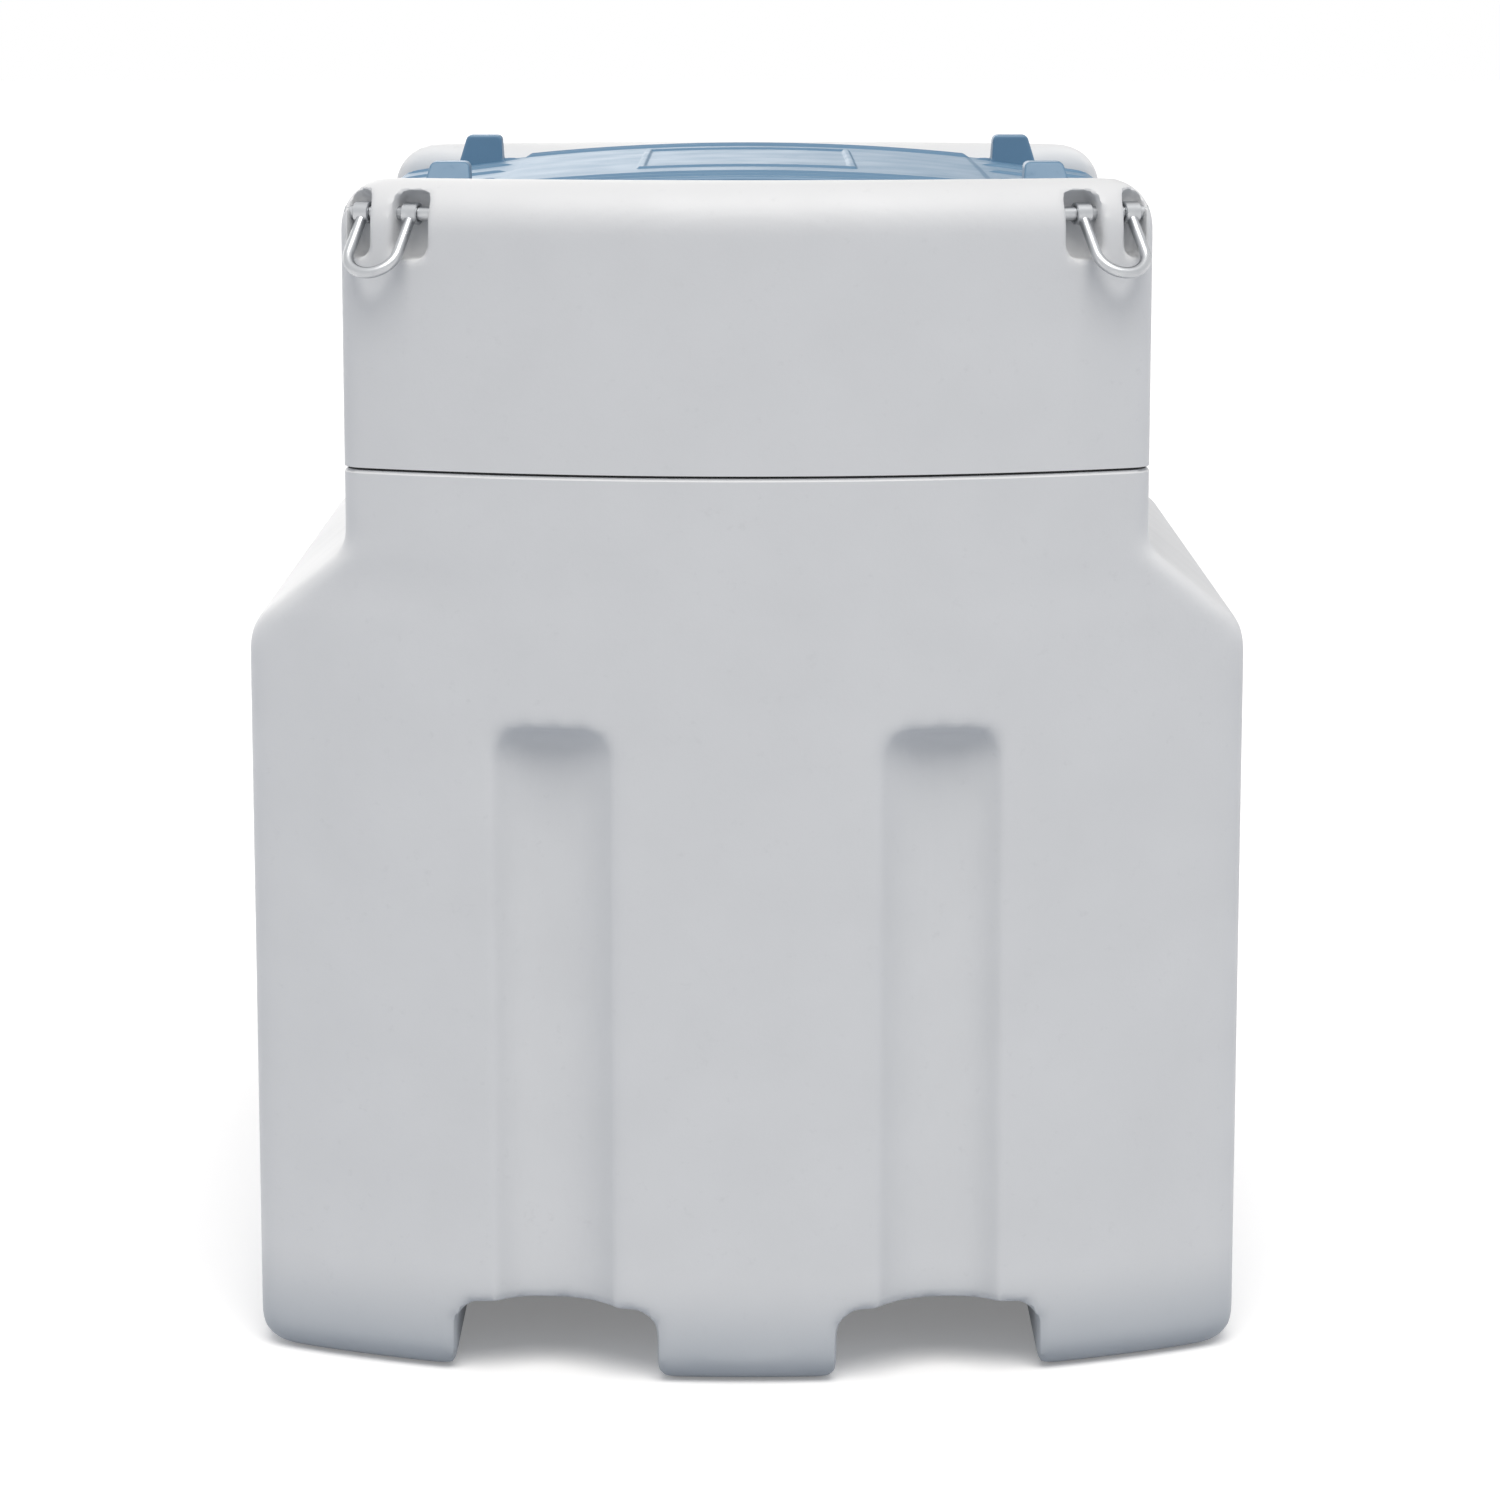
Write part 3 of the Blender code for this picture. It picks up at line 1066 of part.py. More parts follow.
# ------------------------------------------------------------------ outlet
outlet_start = valve_middle + half_valve + GAP
outlet_end = outlet_start + OUTLET_LENGTH
groove_end = OUTLET_GROOVE_AT + OUTLET_GROOVE_WIDTH
turned("outlet_coupling", [
    (OUTLET_RADIUS, OUTLET_LENGTH), (OUTLET_RADIUS, groove_end),
    (OUTLET_RADIUS - OUTLET_GROOVE, groove_end - OUTLET_GROOVE),
    (OUTLET_RADIUS - OUTLET_GROOVE, OUTLET_GROOVE_AT + OUTLET_GROOVE),
    (OUTLET_RADIUS, OUTLET_GROOVE_AT), (OUTLET_RADIUS, 0.0), (PIPE_BORE, 0.0),
    (PIPE_BORE, OUTLET_LENGTH),
], (outlet_start, FITTINGS_Y, LINE_Z), TURN_STEPS, STAINLESS, "X")
outlet_inner = OUTLET_RADIUS + RUN
turned("outlet_cap", [
    (0.0, GAP + CAP_WALL), (outlet_inner + CAP_WALL - OUTLET_CAP_CHAMFER, GAP + CAP_WALL),
    (outlet_inner + CAP_WALL, GAP + CAP_WALL - OUTLET_CAP_CHAMFER),
    (outlet_inner + CAP_WALL, -OUTLET_CAP_LENGTH), (outlet_inner, -OUTLET_CAP_LENGTH),
    (outlet_inner, GAP), (0.0, GAP),
], (outlet_end, FITTINGS_Y, LINE_Z), TURN_STEPS, BLACK_PP, "X")
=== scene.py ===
"""Fresh water tank: white moulded body, fittings cabinet, blue vaulted lid and four lifting bails."""
import json
import math

import bmesh
import bpy
from mathutils import Matrix, Vector

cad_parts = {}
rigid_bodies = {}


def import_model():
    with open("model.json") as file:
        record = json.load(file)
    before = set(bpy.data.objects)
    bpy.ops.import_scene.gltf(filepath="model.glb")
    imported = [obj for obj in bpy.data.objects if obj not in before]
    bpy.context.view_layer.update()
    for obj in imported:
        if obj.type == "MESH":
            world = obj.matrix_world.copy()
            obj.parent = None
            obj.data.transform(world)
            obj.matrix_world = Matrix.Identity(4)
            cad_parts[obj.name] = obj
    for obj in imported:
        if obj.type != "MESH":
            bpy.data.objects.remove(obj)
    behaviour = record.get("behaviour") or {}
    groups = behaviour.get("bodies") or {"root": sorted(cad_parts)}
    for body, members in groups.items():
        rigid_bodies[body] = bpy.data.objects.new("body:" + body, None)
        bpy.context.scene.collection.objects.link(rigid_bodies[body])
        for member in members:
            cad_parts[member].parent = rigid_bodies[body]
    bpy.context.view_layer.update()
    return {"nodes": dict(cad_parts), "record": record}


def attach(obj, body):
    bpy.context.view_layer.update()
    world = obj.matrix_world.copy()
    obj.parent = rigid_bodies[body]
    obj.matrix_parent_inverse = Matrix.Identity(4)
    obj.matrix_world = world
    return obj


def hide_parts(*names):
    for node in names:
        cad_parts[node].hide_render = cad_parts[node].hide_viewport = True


for old in list(bpy.data.objects):
    bpy.data.objects.remove(old, do_unlink=True)
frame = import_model()

# ------------------------------------------------------------------ camera, light and floor
# One long lens a little above the cabinet, looking down by ten degrees.  A soft high sun in front
# lights the tops, a plain room lights the rest, a low soft light behind on the left washes over the
# lid, and the floor keeps the tank's shadow and sends a cool light up into the undersides.
CAMERA_PLACE = (0.003, -5.178, 1.434)
CAMERA_TILT = 80.11                  # degrees from straight down
CAMERA_LENS = 113.06                 # mm on a 36 mm sensor
ROOM_LIGHT = 0.30
SIDE_LIGHT = 0.62                    # more of it from the left and the right
CARD_LIGHT = 0.32                    # of a grey card behind on the right, which the lid mirrors
SUNS = {                             # height, side from the camera, softness in degrees, power
    "front_sun": (62.0, 6.0, 45.0, 2.10),
    "back_sun": (12.0, -160.0, 50.0, 0.60),
}
FLOOR_SIZE = 80.0
FLOOR_GLOW = 0.20                    # lifts the lit floor to plain white for the camera
FLOOR_DROP = 0.0005                  # below the feet, so that the two share no face
FIBRE_SCALE = 900.0                  # per metre, for paper fibres of about a millimetre
CARD_EDGES = (                       # where the card fades in, as a direction's X or Y
    ("X", -0.02, 0.035),
    ("X", 0.60, 0.35),
    ("Y", 0.3, 0.7),
)

scene = bpy.context.scene
scene.view_settings.view_transform = "Standard"

lens = bpy.data.cameras.new("camera")
lens.lens = CAMERA_LENS
lens.sensor_width = 36.0
lens.clip_end = 100.0
camera = bpy.data.objects.new("camera", lens)
camera.location = CAMERA_PLACE
camera.rotation_euler = (math.radians(CAMERA_TILT), 0.0, 0.0)
scene.collection.objects.link(camera)
scene.camera = camera


def linear(code):
    """Linear RGBA of an sRGB hex colour."""
    values = [int(code[i:i + 2], 16) / 255 for i in (1, 3, 5)]
    spread = [v / 12.92 if v <= 0.04045 else ((v + 0.055) / 1.055) ** 2.4 for v in values]
    return (*spread, 1.0)


def add(tree, kind, inputs=None, **settings):
    """Adds a node; an input is a number, a colour or another node's output."""
    made = tree.nodes.new(kind)
    for key, value in settings.items():
        setattr(made, key, value)
    for key, value in (inputs or {}).items():
        if isinstance(value, bpy.types.NodeSocket):
            tree.links.new(value, made.inputs[key])
        else:
            made.inputs[key].default_value = value
    return made


def shown(tree):
    """1 where the camera sees the background, straight or in metal and glass."""
    path = add(tree, "ShaderNodeLightPath")
    glossy = add(tree, "ShaderNodeMath", {0: path.outputs["Is Camera Ray"],
                                          1: path.outputs["Is Glossy Ray"]}, operation="MAXIMUM")
    clear = add(tree, "ShaderNodeMath", {0: glossy.outputs[0],
                                         1: path.outputs["Is Transmission Ray"]}, operation="MAXIMUM")
    return clear.outputs[0]


room = bpy.data.worlds.new("white_room")
room.use_nodes = True
tree = room.node_tree
tree.nodes.clear()
place = add(tree, "ShaderNodeTexCoord")
parts = add(tree, "ShaderNodeSeparateXYZ", {0: place.outputs["Generated"]})
path = add(tree, "ShaderNodeLightPath")
card = path.outputs["Is Glossy Ray"]
for axis, start, end in CARD_EDGES:
    edge = add(tree, "ShaderNodeMapRange", {0: parts.outputs[axis], 1: start, 2: end},
               interpolation_type="SMOOTHSTEP")
    card = add(tree, "ShaderNodeMath", {0: card, 1: edge.outputs[0]}, operation="MULTIPLY").outputs[0]
strength = add(tree, "ShaderNodeMapRange", {0: card, 3: 1.0, 4: CARD_LIGHT})
plain = add(tree, "ShaderNodeBackground",
            {"Color": (1, 1, 1, 1), "Strength": strength.outputs[0]})
sideways = add(tree, "ShaderNodeMath", {0: parts.outputs["X"], 1: parts.outputs["X"]},
               operation="MULTIPLY")
level = add(tree, "ShaderNodeMapRange",
            {0: sideways.outputs[0], 3: ROOM_LIGHT, 4: ROOM_LIGHT + SIDE_LIGHT})
soft = add(tree, "ShaderNodeBackground",
           {"Color": linear("#FAFBFF"), "Strength": level.outputs[0]})
mixed = add(tree, "ShaderNodeMixShader",
            {0: shown(tree), 1: soft.outputs[0], 2: plain.outputs[0]})
add(tree, "ShaderNodeOutputWorld", {"Surface": mixed.outputs[0]})
scene.world = room

for name, (height, side, softness, power) in SUNS.items():
    sun_data = bpy.data.lights.new(name, "SUN")
    sun_data.angle = math.radians(softness)
    sun_data.energy = power
    sun_data.color = linear("#FFFCF8")[:3]
    sun = bpy.data.objects.new(name, sun_data)
    sun.rotation_euler = (math.radians(90 - height), 0.0, math.radians(side))
    scene.collection.objects.link(sun)

floor_shape = bmesh.new()
bmesh.ops.create_grid(floor_shape, x_segments=1, y_segments=1, size=FLOOR_SIZE / 2)
floor_mesh = bpy.data.meshes.new("floor")
floor_shape.to_mesh(floor_mesh)
floor_shape.free()
floor = bpy.data.objects.new("floor", floor_mesh)
floor.location.z = -FLOOR_DROP
scene.collection.objects.link(floor)
paper = bpy.data.materials.new("white_paper_floor")
paper.use_nodes = True
tree = paper.node_tree
tree.nodes.clear()
fibre = add(tree, "ShaderNodeTexNoise", {"Scale": FIBRE_SCALE})
grain = add(tree, "ShaderNodeBump", {"Height": fibre.outputs[0], "Strength": 0.02})
matt = add(tree, "ShaderNodeBsdfDiffuse", {"Color": (0.92, 0.92, 0.92, 1), "Normal": grain.outputs[0]})
cool = add(tree, "ShaderNodeBsdfDiffuse", {"Color": linear("#A3A9B2"), "Normal": grain.outputs[0]})
glow = add(tree, "ShaderNodeEmission", {"Color": (1, 1, 1, 1), "Strength": FLOOR_GLOW})
both = add(tree, "ShaderNodeAddShader", {0: matt.outputs[0], 1: glow.outputs[0]})
choice = add(tree, "ShaderNodeMixShader",
             {0: shown(tree), 1: cool.outputs[0], 2: both.outputs[0]})
add(tree, "ShaderNodeOutputMaterial", {"Surface": choice.outputs[0]})
floor_mesh.materials.append(paper)

# ------------------------------------------------------------------ tank
# One rotational moulding of natural polyethylene, drawn as a closed outer skin over its hollow: bowed
# ends, two fork pockets right through the foot, four drawn-in grooves, and a shoulder that folds in to
# the narrow neck under the cabinet.
WIDTH = 1.000
LENGTH = 1.300
BOW_RADIUS = 0.987
BODY_CORNER = 0.046
FOOT_ROUND = 0.030
SHOULDER_Z = 0.748
SHOULDER_FOLD = 0.055
NECK_HALF = 0.3975
NECK_LENGTH = 0.950
NECK_CORNER = 0.032
NECK_ROOT_Z = 0.832
NECK_ROOT_RADIUS = 0.026
SEAM_Z = 0.910
SEAM_LIP = 0.003                     # bevel all round the seam
SEAM_BAND = 0.012                    # of the rim that the bevel draws in
POCKET_CENTRE = 0.191
POCKET_WIDTH = 0.203
POCKET_HEIGHT = 0.074
POCKET_ROUND = 0.024
POCKET_FLARE = 0.020
POCKET_FLARE_END = 255               # degrees, past the foot's underside
POCKET_BELOW = 0.003                 # of the cutter under the feet
GROOVE_WIDTH = 0.121
GROOVE_DEPTH = 0.034
GROOVE_TOP_Z = 0.660
GROOVE_TOP_ROUND = 0.034
GROOVE_FLATNESS = 2.6
GROOVE_NARROWING = 0.6               # share of the top round by which each side draws in
GROOVE_FULLNESS = 0.6                # below 1 the groove stays deep until near its top
GROOVE_TOP_LIFT = 0.004              # of the faded top end out of the face
GROOVE_REACH = 1.12                  # of the cutter past the groove's sides
GROOVE_OUT = 0.03                    # of the cutter in front of the face
GROOVE_BELOW = 0.01                  # of the cutter under the feet
GROOVE_STEPS = 16
GROOVE_FACETS = 28
Y_FRONT = -LENGTH / 2
Y_REAR = LENGTH / 2
NECK_REAR = Y_FRONT + NECK_LENGTH
TANK_VOXEL = 0.0055                  # grain of the moulding's soft outer skin
TANK_RELAX = 8                       # rounds that relax the skin into moulded radii
TANK_STEPS = 12
SPARE = 0.05                         # of a blank or a cutter past the piece's own face
SHARP = math.radians(35)             # edges that turn further than this stay crisp
RUB_MM = 14.0                        # size of the patches that handling has rubbed
FOOT_SHADE_HEIGHT = 0.115                    # height up to which painted shade darkens the feet


def arc(centre, radius, start, end, steps):
    """Points of an arc in a plane, angles in degrees, both ends included."""
    points = []
    for i in range(steps + 1):
        angle = math.radians(start + (end - start) * i / steps)
        points.append((centre[0] + radius * math.cos(angle), centre[1] + radius * math.sin(angle)))
    return points


def filleted(corners, steps):
    """Open line (a, b, radius) with its inner corners rounded."""
    line = [corners[0][:2]]
    for before, corner, after in zip(corners, corners[1:], corners[2:]):
        here = Vector(corner[:2])
        back = (Vector(before[:2]) - here).normalized()
        ahead = (Vector(after[:2]) - here).normalized()
        half = back.angle(ahead) / 2
        centre = here + (back + ahead).normalized() * corner[2] / math.sin(half)
        reach = corner[2] / math.tan(half)
        first = here + back * reach - centre
        last = here + ahead * reach - centre
        for i in range(steps + 1):
            line.append(tuple(centre + first.slerp(last, i / steps) * corner[2]))
    line.append(corners[-1][:2])
    return line


def bow(x, radius=BOW_RADIUS):
    """How far a bowed face lies behind its middle, at x."""
    return radius - math.sqrt(radius * radius - x * x)


def ring(half, front, rear, corner, z, face_steps=64, corner_steps=10):
    """Section of the mould at a height: bowed front and rear, straight sides, round corners."""
    inner = half - corner
    reach = BOW_RADIUS - corner
    lean = math.asin(inner / reach)
    drop = BOW_RADIUS - math.sqrt(reach * reach - inner * inner)
    quarter = arc((inner, front + drop), corner, math.degrees(lean) - 90, 0, corner_steps)
    face = []
    for i in range(face_steps + 1):
        x = BOW_RADIUS * math.sin(lean * (2 * i / face_steps - 1))
        face.append((x, front + bow(x)))
    right = quarter[1:]
    far_right = [(x, front + rear - y) for x, y in reversed(right)]
    far = [(x, front + rear - y) for x, y in reversed(face)]
    far_left = [(-x, y) for x, y in reversed(far_right)]
    left = [(-x, y) for x, y in reversed(right)]
    return [(x, y, z) for x, y in face + right + far_right + far + far_left + left]


def solid(name, shape):
    """Object of a bmesh, with its faces pointing out."""
    bmesh.ops.recalc_face_normals(shape, faces=shape.faces)
    mesh = bpy.data.meshes.new(name)
    shape.to_mesh(mesh)
    shape.free()
    made = bpy.data.objects.new(name, mesh)
    scene.collection.objects.link(made)
    return made


def loft(name, rings, closed=False):
    """Skins closed rings with equal point counts; caps both ends unless the last meets the first."""
    shape = bmesh.new()
    rows = [[shape.verts.new(point) for point in one] for one in rings]
    count = len(rows[0])
    pairs = list(zip(rows, rows[1:]))
    if closed:
        pairs.append((rows[-1], rows[0]))
    for low, high in pairs:
        for i in range(count):
            j = (i + 1) % count
            shape.faces.new((low[i], low[j], high[j], high[i]))
    if not closed:
        shape.faces.new(reversed(rows[0]))
        shape.faces.new(rows[-1])
    return solid(name, shape)


UPRIGHT = Matrix(((1, 0, 0, 0), (0, 0, 1, 0), (0, 1, 0, 0), (0, 0, 0, 1)))


def prism(name, outline, start, end, basis=UPRIGHT):
    """Outline (a, b) pushed along its normal; upright, a, b and the normal are X, Z and Y."""
    rings = [[basis @ Vector((a, b, depth)) for a, b in outline] for depth in (start, end)]
    return loft(name, rings)


def cylinder(name, radius, start, end, steps=64):
    """Round bar between two points."""
    start, end = Vector(start), Vector(end)
    shape = bmesh.new()
    bmesh.ops.create_cone(shape, cap_ends=True, segments=steps, radius1=radius, radius2=radius,
                          depth=(end - start).length)
    turn = Vector((0, 0, 1)).rotation_difference(end - start).to_matrix().to_4x4()
    bmesh.ops.transform(shape, matrix=Matrix.Translation((start + end) / 2) @ turn, verts=shape.verts)
    return solid(name, shape)


def block(name, low, high):
    """Upright box between two corners."""
    low, high = Vector(low), Vector(high)
    shape = bmesh.new()
    bmesh.ops.create_cube(shape, size=1.0)
    bmesh.ops.scale(shape, vec=high - low, verts=shape.verts)
    bmesh.ops.translate(shape, vec=(low + high) / 2, verts=shape.verts)
    return solid(name, shape)


def combine(target, tools, operation="DIFFERENCE", solver="EXACT"):
    """Cuts the tools out of a piece, or joins them to it, and drops them."""
    for tool in tools:
        step = target.modifiers.new("step", "BOOLEAN")
        step.operation = operation
        step.solver = solver
        step.object = tool
    freeze(target)
    for tool in tools:
        bpy.data.objects.remove(tool, do_unlink=True)


def freeze(made):
    """Makes an object's modifiers final."""
    bpy.context.view_layer.update()
    graph = bpy.context.evaluated_depsgraph_get()
    made.data = bpy.data.meshes.new_from_object(made.evaluated_get(graph))
    made.modifiers.clear()


def softened(made, voxel, rounds):
    """Wraps a piece in an even skin and relaxes it, so that every edge gets a moulded radius."""
    skin = made.modifiers.new("skin", "REMESH")
    skin.mode = "VOXEL"
    skin.voxel_size = voxel
    skin.use_smooth_shade = True
    relax = made.modifiers.new("relax", "SMOOTH")
    relax.factor = 0.5
    relax.iterations = rounds
    freeze(made)


def tank_rings(bottom, top, steps):
    """Sections of the tank from its feet to its top."""
    side = filleted([
        (WIDTH / 2, bottom + FOOT_ROUND, 0.0),
        (WIDTH / 2, SHOULDER_Z, SHOULDER_FOLD),
        (NECK_HALF, NECK_ROOT_Z, NECK_ROOT_RADIUS),
        (NECK_HALF, top, 0.0),
    ], steps)
    rings = []
    for i in range(steps):
        angle = math.pi / 2 * i / steps
        shrink = FOOT_ROUND * (1 - math.sin(angle))
        height = bottom + FOOT_ROUND * (1 - math.cos(angle))
        rings.append(ring(WIDTH / 2 - shrink, Y_FRONT + shrink, Y_REAR - shrink, BODY_CORNER,
                          height))
    for half, height in side:
        share = (WIDTH / 2 - half) / (WIDTH / 2 - NECK_HALF)
        rear = Y_REAR + (NECK_REAR - Y_REAR) * share
        corner = BODY_CORNER + (NECK_CORNER - BODY_CORNER) * share
        rings.append(ring(half, Y_FRONT, rear, corner, height))
    return rings


def pocket_outline(centre):
    """Section of a fork pocket, flared at the floor."""
    half = POCKET_WIDTH / 2
    top = POCKET_HEIGHT
    foot = arc((centre + half + POCKET_FLARE, POCKET_FLARE - POCKET_BELOW), POCKET_FLARE,
               POCKET_FLARE_END, 180, 8)
    right = foot + arc((centre + half - POCKET_ROUND, top - POCKET_ROUND), POCKET_ROUND, 0, 90, 8)
    return right + [(2 * centre - a, b) for a, b in reversed(right)]


def groove_rings(centre, facing):
    """Sections of an upright groove, with a round, drawn-out top end."""
    levels = [(-GROOVE_BELOW, 1.0, 0.0)]
    for i in range(GROOVE_STEPS + 1):
        angle = math.pi / 2 * i / GROOVE_STEPS
        height = GROOVE_TOP_Z - GROOVE_TOP_ROUND + GROOVE_TOP_ROUND * math.sin(angle)
        depth = math.cos(angle) ** GROOVE_FULLNESS
        levels.append((height, depth, GROOVE_TOP_ROUND * (1 - math.cos(angle))))
    rings = []
    for height, depth, narrow in levels:
        half = GROOVE_WIDTH / 2 - GROOVE_NARROWING * narrow
        section = []
        for i in range(GROOVE_FACETS + 1):
            share = GROOVE_REACH * (2 * i / GROOVE_FACETS - 1)
            x = centre + share * half
            fall = GROOVE_DEPTH * (1 - abs(share) ** GROOVE_FLATNESS)
            section.append((x, bow(x) + fall * depth - GROOVE_TOP_LIFT * (1 - depth)))
        section.append((section[-1][0], -GROOVE_OUT))
        section.append((section[0][0], -GROOVE_OUT))
        rings.append([(x, facing * (Y_FRONT + y), height) for x, y in section])
    return rings


tank = loft("tank_moulding", tank_rings(0.0, SEAM_Z + SPARE, TANK_STEPS))
tools = []
for sign in (-1, 1):
    centre = sign * POCKET_CENTRE
    tools.append(prism("pocket", pocket_outline(centre), Y_FRONT - SPARE, Y_REAR + SPARE))
    for facing in (1, -1):
        tools.append(loft("groove", groove_rings(centre, facing)))
combine(tank, tools)
softened(tank, TANK_VOXEL, TANK_RELAX)
# the mould is parted at the seam: a flat top with a small bevel all round
shape = bmesh.new()
shape.from_mesh(tank.data)
for height, drop in ((SEAM_Z - SEAM_LIP, False), (SEAM_Z, True)):
    cut = bmesh.ops.bisect_plane(shape, geom=shape.verts[:] + shape.edges[:] + shape.faces[:],
                                 plane_co=(0, 0, height), plane_no=(0, 0, 1), clear_outer=drop)
rim_edges = [item for item in cut["geom_cut"] if isinstance(item, bmesh.types.BMEdge)]
bmesh.ops.contextual_create(shape, geom=rim_edges)
middle = (Y_FRONT + NECK_REAR) / 2
for vert in shape.verts:
    above = vert.co.z - (SEAM_Z - SEAM_LIP)
    if above > 0:
        vert.co.x -= math.copysign(above, vert.co.x) * (abs(vert.co.x) > NECK_HALF - SEAM_BAND)
        far = abs(vert.co.y - middle) + bow(vert.co.x)
        vert.co.y -= math.copysign(above, vert.co.y - middle) * (far > NECK_LENGTH / 2 - SEAM_BAND)
shape.to_mesh(tank.data)
shape.free()
tank.data.set_sharp_from_angle(angle=SHARP)
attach(tank, "tank")
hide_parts("tank_body")


def polymer(name, light, dark, roughness, peel_mm, peel_depth, cloud_mm, foot=None):
    """Moulded plastic: clouded colour, orange-peel relief, rubbed patches and painted shade that
    darkens it towards the floor.
    """
    made = bpy.data.materials.new(name)
    made.use_nodes = True
    tree = made.node_tree
    tree.nodes.clear()
    place = add(tree, "ShaderNodeTexCoord")
    cloud = add(tree, "ShaderNodeTexNoise",
                {"Vector": place.outputs["Object"], "Scale": 1000 / cloud_mm, "Detail": 4.0})
    peel = add(tree, "ShaderNodeTexNoise",
               {"Vector": place.outputs["Object"], "Scale": 1000 / peel_mm, "Detail": 2.0})
    colour = add(tree, "ShaderNodeMix", {0: cloud.outputs[0], 6: linear(dark), 7: linear(light)},
                 data_type="RGBA")
    rub = add(tree, "ShaderNodeTexNoise",
              {"Vector": place.outputs["Object"], "Scale": 1000 / RUB_MM, "Detail": 6.0,
               "Roughness": 0.7})
    rubbed = add(tree, "ShaderNodeMapRange", {0: rub.outputs[0], 1: 0.60, 2: 0.72, 3: 0.0, 4: 1.0})
    faded = add(tree, "ShaderNodeMix", {0: rubbed.outputs[0], 6: colour.outputs[2], 7: linear(dark)},
                data_type="RGBA")
    finish = faded.outputs[2]
    # painted shade: the colour turns bluish grey towards the floor, where the feet are shaded
    if foot:
        parts = add(tree, "ShaderNodeSeparateXYZ", {0: place.outputs["Object"]})
        near = add(tree, "ShaderNodeMapRange",
                   {0: parts.outputs["Z"], 1: FOOT_SHADE_HEIGHT, 2: 0.0, 3: 0.0, 4: 1.0},
                   interpolation_type="SMOOTHSTEP")
        patchy = add(tree, "ShaderNodeMapRange",
                     {0: cloud.outputs[0], 1: 0.2, 2: 0.6, 3: 0.85, 4: 1.0})
        foot_shade = add(tree, "ShaderNodeMath", {0: near.outputs[0], 1: patchy.outputs[0]},
                   operation="MULTIPLY")
        foot_shaded = add(tree, "ShaderNodeMix", {0: foot_shade.outputs[0], 6: finish, 7: linear(foot)},
                    data_type="RGBA")
        finish = foot_shaded.outputs[2]
    gloss = add(tree, "ShaderNodeMapRange",
                {0: cloud.outputs[0], 1: 0.3, 2: 0.7, 3: roughness + 0.05, 4: roughness - 0.05})
    worn = add(tree, "ShaderNodeMath", {0: rubbed.outputs[0], 1: 0.12, 2: gloss.outputs[0]},
               operation="MULTIPLY_ADD")
    height = add(tree, "ShaderNodeMath", {0: rub.outputs[0], 1: 0.35, 2: peel.outputs[0]},
                 operation="MULTIPLY_ADD")
    relief = add(tree, "ShaderNodeBump",
                 {"Height": height.outputs[0], "Strength": 0.5, "Distance": peel_depth / 1000})
    body = add(tree, "ShaderNodeBsdfPrincipled",
               {"Base Color": finish, "Roughness": worn.outputs[0],
                "Normal": relief.outputs[0], "IOR": 1.51})
    add(tree, "ShaderNodeOutputMaterial", {"Surface": body.outputs[0]})
    return made


# natural polyethylene out of a grit-blasted mould: chalky, faintly clouded, with a soft sheen, and
# greyed towards the feet by painted shade from the floor
NATURAL_PE = polymer("natural_polyethylene_rotomoulded", "#E6E7E8", "#DEDFE0", 0.48, 3.5, 0.12, 90.0,
                     foot="#B4BAC0")
tank.data.materials.append(NATURAL_PE)

# ------------------------------------------------------------------ cabinet
# The second moulding stands on the tank's deck: two bowed gables with rounded tops, a saddle between
# them for the lid, one open compartment inside, and two slots in each corner for the lifting bail.
CABINET_Z = 0.9126
RIM_Z = 1.1945
RIM_ROUND = 0.048
GABLE = 0.125
GABLE_SHELL = 0.010
GABLE_HOLLOW_WIDTH = 0.520
CABINET_WALL = 0.035
CABINET_LEDGE = 0.020
CABINET_CORNER = 0.030
FLANGE = 0.022
FLANGE_THICK = 0.014
LID_BOTTOM = 1.134
LID_EDGE_Z = 1.163
LID_SEAT_GAP = 0.0005
BAIL_CENTRE = 0.358
BAIL_Z = 1.161
BAR_RADIUS = 0.007
BAR_SETBACK = 0.022
SLOT_DEPTH = 0.0345
SLOT_FLOOR_Z = 1.118
SLOT_CEILING_Z = 1.183
SLOT_OUTER = 0.038
SLOT_INNER = 0.049
SLOT_ROUND = 0.0115
RIB_HALF = 0.012
ROOM_HALF = NECK_HALF - CABINET_WALL
ROOM_FRONT = Y_FRONT + GABLE + CABINET_LEDGE
ROOM_REAR = NECK_REAR - GABLE - CABINET_LEDGE
RIM_CORNER_SHARE = 0.35              # of the rim's round by which its corners tighten
RIM_CORNER_LEAST = 0.4               # share of the corner that is always left
RIM_STEPS = 14
SADDLE_STEPS = 40
SADDLE_REACH = 1.02                  # of the cutter past the cabinet's sides
SLOT_OUT = 0.03                      # of the cutter in front of the bowed face
CUTTER_FOOT = 0.06                   # of a cutter under the cabinet, past its blank
CUTTER_STAGGER = 0.005               # keeps the tops of two cutters apart
CABINET_VOXEL = 0.0042
CABINET_RELAX = 6
CROWN_LEAST = 0.018                  # of the gable's rounded inner slope, at the corners


def rounded_box(left, right, bottom, top, radius, steps=6):
    """Outline of a rectangle with round corners."""
    points = arc((right - radius, bottom + radius), radius, -90, 0, steps)
    points += arc((right - radius, top - radius), radius, 0, 90, steps)
    points += arc((left + radius, top - radius), radius, 90, 180, steps)
    return points + arc((left + radius, bottom + radius), radius, 180, 270, steps)


def corner_frame(across, along):
    """Frame on the bowed face at a bail: X along the bar, Y out of the face, Z up."""
    lean = math.asin(BAIL_CENTRE / BOW_RADIUS)
    depth = bow(BAIL_CENTRE)
    y = Y_FRONT + depth if along < 0 else NECK_REAR - depth
    basis = Matrix.Identity(4)
    basis.col[0] = (across * math.cos(lean), -along * math.sin(lean), 0.0, 0.0)
    basis.col[1] = (across * math.sin(lean), along * math.cos(lean), 0.0, 0.0)
    basis.col[3] = (across * BAIL_CENTRE, y, 0.0, 1.0)
    return basis


